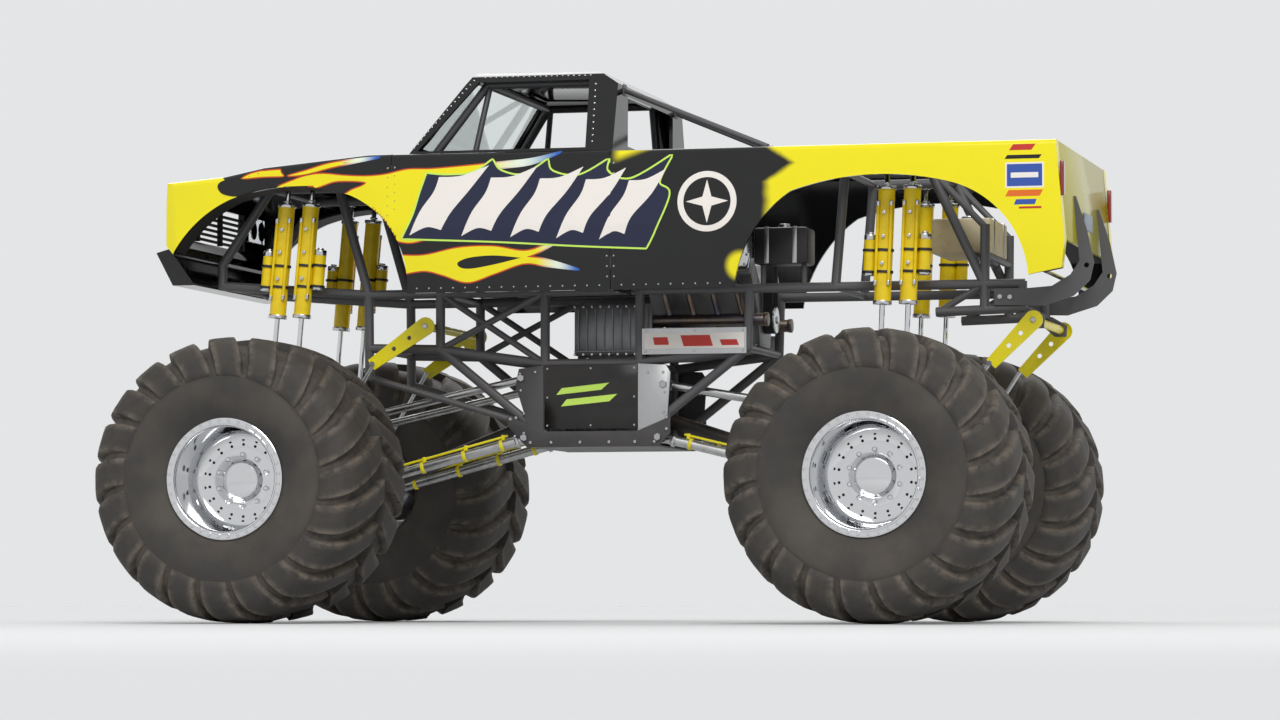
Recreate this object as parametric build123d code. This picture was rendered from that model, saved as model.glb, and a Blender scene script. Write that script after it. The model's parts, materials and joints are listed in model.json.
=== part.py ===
from build123d import *
from math import cos, pi, sin
import os

os.makedirs("parts", exist_ok=True)

# Millimetres. While a piece is modelled, X runs forward from the middle of the wheelbase, Y to the
# driver's left and Z up from the floor. The finished pieces move along X by ORIGIN_X, so that the
# truck's origin lies under the middle of its length.

SEAT_GAP = 0.3  # between a fixed piece and what carries it
RUNNING_GAP = 0.3  # around a spindle or rod in its bore

# Running gear
WHEELBASE = 3780
TRACK = 2730  # between the middles of the left and the right tyres
TYRE_R = 838
TYRE_W = 1092
LUG_H = 48
LUGS = 20  # on each half of a tread
CENTRE_GROOVE = 60
SHOULDER_DROP = 68
BULGE_DROP = 238
TYRE_WALL = 90
RIM_R = 318  # where the beads sit
RIM_W = 924
RIM_WALL = 14
BEADLOCK_R = 356
BEADLOCK_W = 42
DISC_OUT = 115  # from the middle of the rim out to the back of its disc
DISC_T = 26
HUB_R = 185
HUB_L = 430
CAP_R = 120
CAP_L = 58

# Axles and steering
KINGPIN_Y = 930
KINGPIN_R = 58
KNUCKLE_H = 278
SPINDLE_R = 62
SPINDLE_END = 1440
AXLE_R = 92
AXLE_END = 815
YOKE_R = 110
YOKE_T = 25
EAR_T = 25
EAR_W = 120
EAR_GAP = 0.5
CENTRE_R = 165
CENTRE_W = 250
PINION_R = 70
PINION_L = 330
ARM_L = 200  # from the kingpin to a steering arm's eye
ARM_W = 60
ARM_T = 30
ARM_Z = 60  # a steering arm's middle above or below the axle line
EYE_R = 28
EYE_H = 38
EYE_LEVEL = ARM_Z + ARM_T / 2 + 0.5 + EYE_H / 2  # a rod's eye above or below the axle line
TIE_ROD_R = 18
BARREL_R = 38
BARREL_IN = 250
BARREL_OUT = 620
ROD_R = 14

# Frame
FRAME_Y = 430
RAIL_R = 28.5
BRACE_R = 20
PLATE_T = 10
PLATE_IN = FRAME_Y + RAIL_R + SEAT_GAP
KEEL_Z = 1056
TOW_R = 16

# Suspension
SHOCK_Y = 620
SHOCK_R = 50
SHOCK_L = 700
SHOCK_STUD = 100
SHAFT_R = 16
SHOCK_EYE_R = 30
SHOCK_EYE_W = 40
SHOCK_PITCH = 155
SHOCK_FOOT_DX = 10
SHOCK_FOOT_Z = 1085
SHELF_T = 16
RESERVOIR_R = 37
RESERVOIR_L = 235
LINK_R = 30
UPPER_LINK_R = 24
LINK_EYE_R = 36
LINK_EYE_W = 66
LINK_PIN_R = 16
LINK_HEAD_Y = 365  # the links' ends on the frame
LOWER_LINK_Y = 400  # and on the axle
UPPER_LINK_Y = 330
# From the axle towards the truck's middle, then up from the floor
LOWER_LINK_FOOT = (116, 770)
UPPER_LINK_FOOT = (90, 1190)
SWAY_Y = 560
SWAY_T = 14
SWAY_BAR_R = 25
SWAY_LINK_R = 12
SWAY_FOOT_Z = 930
SWAY_FOOT_DX = 105  # the sway links stand behind each axle

# Engine and driveline
CASE_X = (-60, 300)
SHAFT_Z = 1300
DRIVESHAFT_R = 45
FLANGE_R = 58
FLANGE_T = 28

# Body
BODY_Y = 1000
SKIN = 22
SILL_Z = 1963
BELT_Z = 2790
CAB_FRONT = 1150
CAB_REAR = -200
TAIL_X = -2849  # at the rail; the tailgate leans back below it
GATE_LOW = (-2894, 2212)
GATE_Y = 900
NOSE_X = 2640
NOSE_Y = 910
ROOF_Y = 760
SEAM = 4
SHOULDER_R = 38
LINER_Y = 700
LINER_T = 12
GRILLE_Y = 420
GRILLE_Z = (2350, 2580)
LAMP_Y = (500, 800)
LAMP_Z = (2420, 2575)
CAGE_Y = 800
CAGE_R = 25

HOOP_REACH = 2990  # from the middle of the wheelbase back to the rear hoops
ORIGIN_X = (HOOP_REACH - WHEELBASE / 2 - TYRE_R) / 2

AXLE_Z = TYRE_R
FRONT = WHEELBASE / 2
REAR = -WHEELBASE / 2


def save(node, *shapes):
    solids = [solid for shape in shapes for solid in shape.solids()]
    placed = [solid.moved(Location((ORIGIN_X, 0, 0))) for solid in solids]
    export_step(Compound(placed), f"parts/{node}.step")


def fused(shapes):
    first, *rest = shapes
    return first.fuse(*rest).clean() if rest else first


def largest(shape):
    return max(shape.solids(), key=lambda solid: solid.volume)


def both_sides(shapes):
    return [*shapes, *(shape.mirror(Plane.XZ) for shape in shapes)]


def bar(start, end, radius, past=0.0):
    """A round bar between two points, run on past each of them."""
    run = Vector(*end) - Vector(*start)
    way = run.normalized()
    foot = Vector(*start) - way * past
    return Solid.make_cylinder(radius, run.length + 2 * past, Plane(origin=foot, z_dir=way))


def cross_bar(x, z, reach, radius):
    return bar((x, -reach, z), (x, reach, z), radius)


def block(x, y, z):
    """A box between two values of X, of Y and of Z."""
    size = [abs(b - a) for a, b in (x, y, z)]
    return Solid.make_box(*size, Plane(origin=(min(x), min(y), min(z))))


def side_prism(face, y):
    """A face drawn in X and Z, as a solid between two values of Y."""
    solid = extrude(Plane.XZ * face, amount=abs(y[1] - y[0]) / 2, both=True)
    return solid.moved(Location((0, (y[0] + y[1]) / 2, 0)))


def plate(points, y):
    return side_prism(make_face(Polyline(*points, close=True)), y)


def front_prism(half, x):
    """A symmetric outline given by its left half in Y and Z, between two values of X."""
    outline = half + [(-y, z) for y, z in reversed(half) if y > 0]
    solid = extrude(Plane.YZ * make_face(Polyline(*outline, close=True)), amount=x[1] - x[0])
    return solid.moved(Location((x[0], 0, 0)))


# Tyres

# Half of the tread, from its middle out to the widest part of the sidewall: distance from the
# middle, radius in the groove, radius on the lug, then the lug's lag and its width in pitches.
TREAD = [
    (CENTRE_GROOVE / 2, TYRE_R - LUG_H, TYRE_R, 0.00, 0.50),
    (TYRE_W / 2 - 200, TYRE_R - LUG_H - 6, TYRE_R - 6, 0.42, 0.62),
    (TYRE_W / 2 - 41, TYRE_R - SHOULDER_DROP - 40, TYRE_R - SHOULDER_DROP, 0.72, 0.74),
    (TYRE_W / 2, TYRE_R - BULGE_DROP, TYRE_R - BULGE_DROP, 0.86, 0.76),
]
FLATS = 2 * LUGS
CAVITY_FLATS = LUGS // 2
CAVITY_STEP = LUGS / CAVITY_FLATS
CAVITY_Y = TYRE_W / 2 - TYRE_WALL
CAVITY_R = TYRE_R - BULGE_DROP + 110


def rim_point(y, radius, pitches):
    """A point of the wheel, turned from straight down by a number of lug pitches."""
    angle = -pi / 2 + 2 * pi * pitches / LUGS
    return Vector(radius * cos(angle), y, radius * sin(angle))


def flat(*corners):
    return Face(Wire.make_polygon(corners, close=True))


def quad(a, b, c, d):
    """Two flat triangles over four corners that need not lie in one plane."""
    return [flat(a, b, c), flat(a, c, d)]


def lug_faces(side, start):
    """One lug with the groove behind it, from the tread's middle to the sidewall."""
    rows = []
    for y, floor, top, lag, width in TREAD:
        near, far, following = start + lag, start + lag + width, start + lag + 1
        rows.append(
            {
                "top": [rim_point(side * y, top, near), rim_point(side * y, top, far)],
                "floor": [rim_point(side * y, floor, turn) for turn in (near, far, following)],
            }
        )
    faces = quad(*rows[0]["top"], rows[0]["floor"][1], rows[0]["floor"][0])
    for inner, outer in zip(rows[:-1], rows[1:]):
        faces += quad(*inner["top"], outer["top"][1], outer["top"][0])
        faces += quad(*inner["floor"][1:], outer["floor"][2], outer["floor"][1])
        for edge in (0, 1):
            floor_in, top_in = inner["floor"][edge], inner["top"][edge]
            floor_out, top_out = outer["floor"][edge], outer["top"][edge]
            if outer is rows[-1]:
                faces.append(flat(floor_in, top_in, top_out))
            else:
                faces += quad(floor_in, top_in, top_out, floor_out)
    return faces


def half_pitches(more=0):
    return [(half / 2, (half + 1) / 2) for half in range(FLATS + more)]


def cavity_corner(turn):
    """The number of the hollow's corner nearest to a turn along the bead."""
    return round(turn / CAVITY_STEP - 0.01)


def bead_faces(side):
    """From the widest part of the sidewall over the bead and its seat into the hollow."""
    bulge_y, _, bulge_r, lag, width = TREAD[-1]
    seat_r = RIM_R + RUNNING_GAP
    seat_out, seat_in = side * (RIM_W / 2 - 4), side * (RIM_W / 2 - 34)
    shift = 0.5 if side < 0 else 0.0
    faces = []
    for lug in range(LUGS):
        start = lug + shift
        bulge = [start + lag, start + lag + width, start + lag + 1]
        seats = [start + 1, start + 1.5, start + 2]
        for i in (0, 1):
            faces += quad(
                rim_point(side * bulge_y, bulge_r, bulge[i]),
                rim_point(side * bulge_y, bulge_r, bulge[i + 1]),
                rim_point(seat_out, seat_r, seats[i + 1]),
                rim_point(seat_out, seat_r, seats[i]),
            )
    for near, far in half_pitches():
        faces.append(
            flat(
                rim_point(seat_out, seat_r, near),
                rim_point(seat_out, seat_r, far),
                rim_point(seat_in, seat_r, far),
                rim_point(seat_in, seat_r, near),
            )
        )
        corner = rim_point(side * CAVITY_Y, CAVITY_R, cavity_corner(near) * CAVITY_STEP)
        faces.append(flat(rim_point(seat_in, seat_r, near), rim_point(seat_in, seat_r, far), corner))
    for i in range(CAVITY_FLATS):
        turn = next(near for near, _ in half_pitches(1) if cavity_corner(near) > i)
        faces.append(
            flat(
                rim_point(side * CAVITY_Y, CAVITY_R, i * CAVITY_STEP),
                rim_point(side * CAVITY_Y, CAVITY_R, (i + 1) * CAVITY_STEP),
                rim_point(seat_in, seat_r, turn),
            )
        )
    return faces


def tyre():
    """The tyre about the Y axis, its tread a chain of flats with chevron lugs in two rows."""
    faces = bead_faces(1) + bead_faces(-1)
    groove_y, groove_r, *_ = TREAD[0]
    for lug in range(LUGS):
        faces += lug_faces(1, lug) + lug_faces(-1, lug + 0.5)
    strips = [(groove_y, groove_r, pair) for pair in half_pitches()]
    strips += [
        (CAVITY_Y, CAVITY_R, (i * CAVITY_STEP, (i + 1) * CAVITY_STEP)) for i in range(CAVITY_FLATS)
    ]
    for y, radius, (near, far) in strips:
        faces.append(
            flat(
                rim_point(y, radius, near),
                rim_point(y, radius, far),
                rim_point(-y, radius, far),
                rim_point(-y, radius, near),
            )
        )
    return Solid(Shell(faces))


def wheel_ring(section):
    """A closed ring about the Y axis, in as many flats as the tyre's seat has."""
    faces = []
    for (y0, r0), (y1, r1) in zip(section, section[1:] + section[:1]):
        for near, far in half_pitches():
            faces.append(
                flat(
                    rim_point(y0, r0, near),
                    rim_point(y0, r0, far),
                    rim_point(y1, r1, far),
                    rim_point(y1, r1, near),
                )
            )
    return Solid(Shell(faces))


def rim():
    """The deep rim with its beadlock ring, dished disc, hub and cap, about the Y axis."""
    lock_y = RIM_W / 2 + 10
    face_y = RIM_W / 2 + BEADLOCK_W - 8
    inner_r = RIM_R - RIM_WALL
    ring = wheel_ring(
        [
            (-RIM_W / 2, inner_r),
            (-RIM_W / 2, RIM_R),
            (lock_y, RIM_R),
            (lock_y, BEADLOCK_R),
            (face_y, BEADLOCK_R),
            (face_y, inner_r + 6),
            (DISC_OUT + DISC_T, inner_r),
            (DISC_OUT + DISC_T, HUB_R - 10),
            (DISC_OUT, HUB_R - 10),
            (DISC_OUT, inner_r),
        ]
    )
    hub = bar((0, DISC_OUT + DISC_T - HUB_L, 0), (0, DISC_OUT + DISC_T, 0), HUB_R)
    cap = bar((0, DISC_OUT, 0), (0, DISC_OUT + DISC_T + CAP_L, 0), CAP_R)
    bore_end = SPINDLE_END + 5 - TRACK / 2
    bore = bar((0, -RIM_W, 0), (0, bore_end, 0), SPINDLE_R + RUNNING_GAP)
    return fused([ring, hub, cap]).cut(bore)


# The four corners: name, axle's X, side, and the way the steering arms point from the axle.
CORNERS = [
    ("front_left", FRONT, 1, 1),
    ("front_right", FRONT, -1, 1),
    ("rear_left", REAR, 1, -1),
    ("rear_right", REAR, -1, -1),
]
# The two axles: name, X, and the way their steering arms point.
AXLES = [("front", FRONT, 1), ("rear", REAR, -1)]


def knuckle(way):
    """A left knuckle about its kingpin, with its spindle and two steering arms."""
    pieces = [
        bar((0, 0, -KNUCKLE_H / 2), (0, 0, KNUCKLE_H / 2), KINGPIN_R),
        bar((0, 0, 0), (0, SPINDLE_END - KINGPIN_Y, 0), SPINDLE_R),
    ]
    for level in (ARM_Z, -ARM_Z):
        z = (level - ARM_T / 2, level + ARM_T / 2)
        pieces.append(block((0, way * ARM_L), (-ARM_W / 2, ARM_W / 2), z))
        pieces.append(bar((way * ARM_L, 0, z[0]), (way * ARM_L, 0, z[1]), ARM_W / 2))
    return fused(pieces)


def wheels_and_knuckles():
    tyre_solid, rim_solid = tyre(), rim()
    for name, axle_x, side, way in CORNERS:
        hub = Location((axle_x, TRACK / 2, AXLE_Z))
        pivot = Location((axle_x, KINGPIN_Y, AXLE_Z))
        for node, solid in (
            ("tyre", tyre_solid.moved(hub)),
            ("rim", rim_solid.moved(hub)),
            ("knuckle", knuckle(way).moved(pivot)),
        ):
            save(f"{node}_{name}", solid if side > 0 else solid.mirror(Plane.XZ))


# Axles and steering


def yoke(axle_x):
    """The left end of an axle: a flange with an ear over and under the kingpin."""
    yoke_in, yoke_out = AXLE_END - 10, AXLE_END + YOKE_T - 10
    ear_x = (axle_x - EAR_W / 2, axle_x + EAR_W / 2)
    pieces = [bar((axle_x, yoke_in, AXLE_Z), (axle_x, yoke_out, AXLE_Z), YOKE_R)]
    for up in (1, -1):
        near = AXLE_Z + up * (KNUCKLE_H / 2 + EAR_GAP)
        far = near + up * EAR_T
        pieces.append(block(ear_x, (yoke_in, KINGPIN_Y), (near, far)))
        pieces.append(bar((axle_x, KINGPIN_Y, near), (axle_x, KINGPIN_Y, far), EAR_W / 2))
        pieces.append(block(ear_x, (yoke_in, yoke_out), (AXLE_Z + up * AXLE_R / 2, far)))
    return pieces


def shock_bracket(axle_x):
    """Two plates that stand on the axle and hold the lower eyes of a pair of shocks."""
    foot = axle_x + SHOCK_FOOT_DX
    outline = [
        (axle_x - 60, AXLE_Z + 40),
        (axle_x - 70, SHOCK_FOOT_Z - 60),
        (foot - 30, SHOCK_FOOT_Z + 35),
        (foot + SHOCK_PITCH + 30, SHOCK_FOOT_Z + 35),
        (foot + SHOCK_PITCH + 40, SHOCK_FOOT_Z - 55),
        (axle_x + 115, SHOCK_FOOT_Z - 90),
        (axle_x + 75, AXLE_Z + 40),
    ]
    inner = SHOCK_EYE_W / 2 + SEAT_GAP
    outer = inner + 13
    return [
        plate(outline, (SHOCK_Y + inner, SHOCK_Y + outer)),
        plate(outline, (SHOCK_Y - outer, SHOCK_Y - inner)),
    ]


def link_bracket(axle_x, inward, foot, y):
    """Two ears on the axle around the eye of one link."""
    dx, z = foot
    eye_x = axle_x + inward * dx
    if z > AXLE_Z:
        far, near = z + 45, z - 45
        base = (AXLE_Z + 45, AXLE_Z + 50)
    else:
        far, near = z - 45, AXLE_Z + 20
        base = (AXLE_Z - 50, AXLE_Z + 50)
    ears = [
        (axle_x - inward * 60, base[0]),
        (eye_x - inward * 40, far),
        (eye_x + inward * 45, far),
        (eye_x + inward * 45, near),
        (axle_x + inward * 60, base[1]),
    ]
    inner = LINK_EYE_W / 2 + SEAT_GAP
    outer = inner + 10
    return [plate(ears, (y + inner, y + outer)), plate(ears, (y - outer, y - inner))]


def axle(axle_x, way):
    """One axle housing with its centre, its yokes and the brackets it carries."""
    inward = -way
    pieces = [
        cross_bar(axle_x, AXLE_Z, AXLE_END, AXLE_R),
        cross_bar(axle_x, AXLE_Z, CENTRE_W / 2, CENTRE_R),
        bar((axle_x, 0, AXLE_Z), (axle_x + inward * PINION_L, 0, AXLE_Z), PINION_R),
    ]
    sway_x = (axle_x - SWAY_FOOT_DX - 45, axle_x - SWAY_FOOT_DX + 45)
    sway_out = SWAY_Y - 2 * SWAY_LINK_R - 2 * SEAT_GAP
    one_side = [
        *yoke(axle_x),
        *shock_bracket(axle_x),
        *link_bracket(axle_x, inward, LOWER_LINK_FOOT, LOWER_LINK_Y),
        *link_bracket(axle_x, inward, UPPER_LINK_FOOT, UPPER_LINK_Y),
        block(sway_x, (sway_out - 12, sway_out), (AXLE_Z - 30, SWAY_FOOT_Z + 25)),
    ]
    pieces += both_sides(one_side)
    barrel_x, barrel_z = axle_x + way * ARM_L, AXLE_Z - EYE_LEVEL
    for y in (BARREL_IN + 60, BARREL_OUT - 60):
        reach = (axle_x + way * 20, barrel_x - way * (BARREL_R - 6))
        pieces.append(block(reach, (y - 15, y + 15), (barrel_z - 20, barrel_z + 20)))
        pieces.append(bar((barrel_x, y - 15, barrel_z), (barrel_x, y + 15, barrel_z), BARREL_R + 12))
    seat = bar((barrel_x, 0, barrel_z), (barrel_x, BARREL_OUT, barrel_z), BARREL_R + SEAT_GAP)
    return fused(pieces).cut(seat)


def tie_rod(axle_x, way):
    x, z = axle_x + way * ARM_L, AXLE_Z + EYE_LEVEL
    pieces = [cross_bar(x, z, KINGPIN_Y, TIE_ROD_R)]
    pieces += [bar((x, y, z - EYE_H / 2), (x, y, z + EYE_H / 2), EYE_R) for y in (-KINGPIN_Y, KINGPIN_Y)]
    return fused(pieces)


def steer_barrel(axle_x, way):
    x, z = axle_x + way * ARM_L, AXLE_Z - EYE_LEVEL
    barrel = bar((x, BARREL_IN, z), (x, BARREL_OUT, z), BARREL_R)
    return barrel.cut(bar((x, BARREL_IN + 30, z), (x, BARREL_OUT, z), ROD_R + RUNNING_GAP))


def steer_rod(axle_x, way):
    x, z = axle_x + way * ARM_L, AXLE_Z - EYE_LEVEL
    rod = bar((x, BARREL_OUT - 180, z), (x, KINGPIN_Y, z), ROD_R)
    eye = bar((x, KINGPIN_Y, z - EYE_H / 2), (x, KINGPIN_Y, z + EYE_H / 2), EYE_R)
    return fused([rod, eye])


def axles_and_steering():
    save("axle_housings", *(axle(x, way) for _, x, way in AXLES))
    save("steer_barrels", *(steer_barrel(x, way) for _, x, way in AXLES))
    for name, x, way in AXLES:
        save(f"tie_rod_{name}", tie_rod(x, way))
        save(f"steer_rod_{name}", steer_rod(x, way))


# The body's skin, which the frame's outriggers reach out to


def plan_half(inset):
    """The left half of the body seen from above, from tail to nose: X and Y."""
    nose_x, nose_y = NOSE_X - inset, NOSE_Y - inset
    return [
        (TAIL_X - 60 + inset, BODY_Y - 10 - inset),
        (-600, BODY_Y - inset),
        (CAB_FRONT, BODY_Y - inset),
        (nose_x - 90, nose_y),
        (nose_x - 25, nose_y - 35),
        (nose_x, nose_y - 110),
    ]


def section_half(inset):
    """The left half of the body seen from ahead, from below the sill up past the rail: Y and Z."""
    return [
        (BODY_Y - 45 - inset, 1700),
        (BODY_Y - inset, 2350),
        (BODY_Y - 15 - inset, 2840),
    ]


def between(points, at):
    """The second value of a run of points where the first has a given value."""
    (x0, y0), (x1, y1) = next(pair for pair in zip(points[:-1], points[1:]) if at <= pair[1][0])
    return y0 + (y1 - y0) * (at - x0) / (x1 - x0)


def skin_reach(x, z, radius):
    """How far out a bar along Y may run before it meets the inside of the body's skin."""
    section = [(height, y) for y, height in section_half(SKIN)]
    spans = [between(section, z - radius), between(section, z + radius)]
    spans += [between(plan_half(SKIN), x - radius), between(plan_half(SKIN), x + radius)]
    return min(spans) - SEAT_GAP


# Frame

# Tube joints on the side of the frame: X and Z.
JOINTS = {
    "nose_low": (2412, 2066),
    "nose_top": (2412, 2195),
    "front_tower_fore": (2100, 2655),
    "front_tower_aft": (1660, 2655),
    "a_top": (1466, 1995),
    "a_low": (1460, 1668),
    "a_foot": (1460, 1490),
    "b_top": (1010, 1995),
    "b_low": (1010, 1656),
    "d_top": (350, 1995),
    "d_low": (350, 1560),
    "d_foot": (350, 1120),
    "e_top": (-240, 1995),
    "e_low": (-240, 1560),
    "e_foot": (-240, 1120),
    "f_top": (-915, 1995),
    "f_low": (-905, 1640),
    "plate_fore": (560, 1225),
    "g_top": (-1440, 1995),
    "rear_tower_fore": (-1500, 2680),
    "rear_tower_aft": (-2010, 2680),
    "h_top": (-2340, 2334),
    "h_mid": (-2335, 1995),
    "h_low": (-2335, 1850),
    "tail_low": (-2560, 1850),
    "tail_top": (-2560, 1995),
    "rail_low": (-2060, 1835),
}
# Tubes of each stretch: the joints at their ends, and the radius.
CENTRE_TUBES = [
    ("a_top", "f_top", RAIL_R),
    ("a_low", "b_low", RAIL_R),
    ("b_low", "d_low", RAIL_R),
    ("d_low", "e_low", RAIL_R),
    ("e_low", "f_low", RAIL_R),
    ("a_top", "a_foot", RAIL_R),
    ("b_top", "b_low", RAIL_R),
    ("d_top", "d_foot", RAIL_R),
    ("e_top", "e_foot", RAIL_R),
    ("f_top", "f_low", RAIL_R),
    ("b_low", "d_top", BRACE_R),
    ("b_top", "d_low", BRACE_R),
    ("b_low", "d_foot", RAIL_R),
    ("f_low", "e_foot", RAIL_R),
    ("a_foot", "plate_fore", BRACE_R),
]
FRONT_TUBES = [
    ("a_top", "nose_low", RAIL_R),
    ("a_top", "front_tower_aft", RAIL_R),
    ("front_tower_aft", "front_tower_fore", RAIL_R),
    ("front_tower_fore", "nose_top", RAIL_R),
    ("nose_top", "nose_low", RAIL_R),
]
REAR_TUBES = [
    ("f_top", "h_mid", RAIL_R),
    ("g_top", "rear_tower_fore", RAIL_R),
    ("rear_tower_fore", "rear_tower_aft", RAIL_R),
    ("rear_tower_aft", "h_mid", RAIL_R),
    ("rear_tower_aft", "h_top", BRACE_R),
    ("h_top", "h_low", RAIL_R),
    ("rail_low", "tail_low", RAIL_R),
    ("rail_low", "h_mid", BRACE_R),
    ("h_mid", "tail_top", RAIL_R),
    ("tail_top", "tail_low", RAIL_R),
]
CELL_BEARERS = [(-2338, 2170), (-2255, 2170)]  # under the fuel cell
CELL_Z = (2170 + BRACE_R + SEAT_GAP, 2400)
TANK_X = (-1290, -960)
TANK_Z = (2130, 2350)
SWAY_PIVOTS = {
    "front": (JOINTS["b_low"][0] + RAIL_R + SWAY_BAR_R + SEAT_GAP, 1790),
    "rear": (-2647, 1771),
}
SWAY_TIPS = {"front": (1405, 1560), "rear": (-2395, 1515)}


def joint(name, y=FRAME_Y):
    x, z = JOINTS[name]
    return (x, y, z)


def tube_frame(tubes, crossings, outriggers=(), extra=()):
    """Both sides of a stretch of frame, with the tubes that cross it or run out to the body."""
    pieces = both_sides([bar(joint(a), joint(b), r, past=r / 2) for a, b, r in tubes])
    pieces += [cross_bar(*JOINTS[name], FRAME_Y, BRACE_R) for name in crossings]
    for name in outriggers:
        x, z = JOINTS[name]
        pieces.append(cross_bar(x, z, skin_reach(x, z, BRACE_R), BRACE_R))
    return fused(pieces + list(extra))


def shock_shelf(x, z):
    """The shelf outside a tower rail that the upper ends of two shocks bolt up into."""
    return block(x, (FRAME_Y, SHOCK_Y + SHOCK_R + 10), (z - SHELF_T / 2, z + SHELF_T / 2))


def sway_hanger():
    """A plate under the tail's lower tube with a hole for the rear sway bar."""
    x, z = SWAY_PIVOTS["rear"]
    outline = [
        (-2520, 1850), (-2600, 1850), (x - 45, z + 25), (x - 40, z - 42), (x + 30, z - 42), (-2520, 1815),
    ]
    hole = bar((x, 0, z), (x, BODY_Y, z), SWAY_BAR_R + SEAT_GAP)
    return plate(outline, (FRAME_Y - 8, FRAME_Y + 8)).cut(hole)


def frame():
    crossings = ["a_low", "b_top", "d_low", "e_low", "f_low", "d_foot", "e_foot"]
    centre = tube_frame(CENTRE_TUBES, crossings)
    front = tube_frame(
        FRONT_TUBES,
        ["nose_low"],
        ["front_tower_aft", "front_tower_fore"],
        both_sides([shock_shelf((1690, 2000), JOINTS["front_tower_fore"][1])]),
    )
    rail_z = JOINTS["f_top"][1]
    tank_stubs = [
        bar((x, FRAME_Y, rail_z), (x, FRAME_Y, TANK_Z[0] - SEAT_GAP), 16)
        for x in (TANK_X[0] + 40, TANK_X[1] - 40)
    ]
    bearers = [cross_bar(x, z, FRAME_Y, BRACE_R) for x, z in CELL_BEARERS]
    shelves = both_sides([shock_shelf((-2030, -1500), JOINTS["rear_tower_fore"][1]), sway_hanger()])
    rear = tube_frame(
        REAR_TUBES,
        ["g_top", "h_mid", "tail_low"],
        ["rear_tower_fore", "rear_tower_aft"],
        [*tank_stubs, *bearers, *shelves],
    )
    save("centre_frame", centre)
    save("front_frame", largest(front.cut(centre)))
    save("rear_frame", largest(rear.cut(centre)))


# The lower side plate and the two gussets above it, as seen from the side.
KEEL_PLATE = [
    (573, 1250), (573, 1185), (455, KEEL_Z), (-365, KEEL_Z),
    (-436, 1136), (-436, 1255), (-240, 1150), (350, 1150),
]
FORE_GUSSET = [(350, 1130), (440, 1160), (525, 1430), (505, 1530), (350, 1550)]
AFT_GUSSET = [(-240, 1130), (-420, 1220), (-440, 1500), (-410, 1545), (-240, 1555)]


def plates():
    y = (PLATE_IN, PLATE_IN + PLATE_T)
    sides = both_sides([plate(points, y) for points in (KEEL_PLATE, FORE_GUSSET, AFT_GUSSET)])
    pan = block((-350, 440), (-PLATE_IN - 1, PLATE_IN + 1), (KEEL_Z, KEEL_Z + PLATE_T))
    save("side_plates", fused([pan, *sides]))
    save("centre_panels", *both_sides([block((-234, 344), y, (1164, 1548))]))
    save("engine_guards", *both_sides([block((-905, -262), y, (1606, 1762))]))


def gate_x(z):
    """The X of the tailgate's outer face at a height."""
    return GATE_LOW[0] + (TAIL_X - GATE_LOW[0]) * (z - GATE_LOW[1]) / (BELT_Z - 6 - GATE_LOW[1])


def hoops():
    """A flat bar on each side of the frame's tail that turns up to the back of the tailgate."""
    tip, foot = 2500, 2330
    outline = [
        (-2400, 1965), (-2400, 1868), (-2690, 1860), (-2870, 1915), (-2965, 2005),
        (-HOOP_REACH, 2110), (-2950, 2300), (gate_x(tip) - 14, tip),
        (gate_x(tip) - SEAT_GAP, tip), (gate_x(foot) - SEAT_GAP, foot), (-2905, 2120),
        (-2850, 2040), (-2740, 1975), (-2600, 1965),
    ]
    y = (PLATE_IN, PLATE_IN + PLATE_T)
    eye = bar((-2945, 0, 2095), (-2945, BODY_Y, 2095), TOW_R)
    save("rear_hoops", *both_sides([plate(outline, y).cut(eye)]))


# Suspension


def shock(top_x, shelf_z, foot):
    """A shock between a shelf and its lower eye: the body's top and axis, and its solids."""
    lean = (Vector(*foot) - Vector(top_x, foot[1], shelf_z)).normalized()
    top = Vector(top_x, foot[1], shelf_z - SEAT_GAP - SHAFT_R * abs(lean.X))
    way = (Vector(*foot) - top).normalized()
    start = top + way * SHOCK_STUD
    end = start + way * SHOCK_L
    eye = bar(
        (foot[0], foot[1] - SHOCK_EYE_W / 2, foot[2]),
        (foot[0], foot[1] + SHOCK_EYE_W / 2, foot[2]),
        SHOCK_EYE_R,
    )
    stud = bar(top, start - way * SEAT_GAP, SHAFT_R)
    shaft = fused([bar(end + way * SEAT_GAP, foot, SHAFT_R), eye])
    return start, way, bar(start, end, SHOCK_R), [stud, shaft]


# X of the axle, X of the two upper studs, and the joint whose tube carries their shelf.
SHOCK_PAIRS = [
    (FRONT, (1766, 1921), "front_tower_fore"),
    (REAR, (-1949, -1794), "rear_tower_fore"),
]


def shocks():
    """Two shocks on each corner, each with a gas reservoir on its outer side."""
    bodies, bright = [], []
    for axle_x, tops, tower in SHOCK_PAIRS:
        shelf_z = JOINTS[tower][1] - SHELF_T / 2
        for i, top_x in enumerate(tops):
            foot = (axle_x + SHOCK_FOOT_DX + i * SHOCK_PITCH, SHOCK_Y, SHOCK_FOOT_Z)
            start, way, body, ends = shock(top_x, shelf_z, foot)
            aside = (-1 if i == 0 else 1) * (SHOCK_R + RESERVOIR_R - 2)
            can_top = start + way * 290 + Vector(aside, 0, 0)
            can = bar(can_top, can_top + way * RESERVOIR_L, RESERVOIR_R)
            bodies.append(fused([body, can]))
            bright += ends
    save("shock_bodies", *both_sides(bodies))
    save("shock_shafts", *both_sides(bright))


# X of the axle, the way out to it, then the pins of the lower and upper links: X and Z.
LINK_PINS = [
    (FRONT, 1, (470, 1115), (490, 1475)),
    (REAR, -1, (-359, 1112), (-395, 1427)),
]


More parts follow.
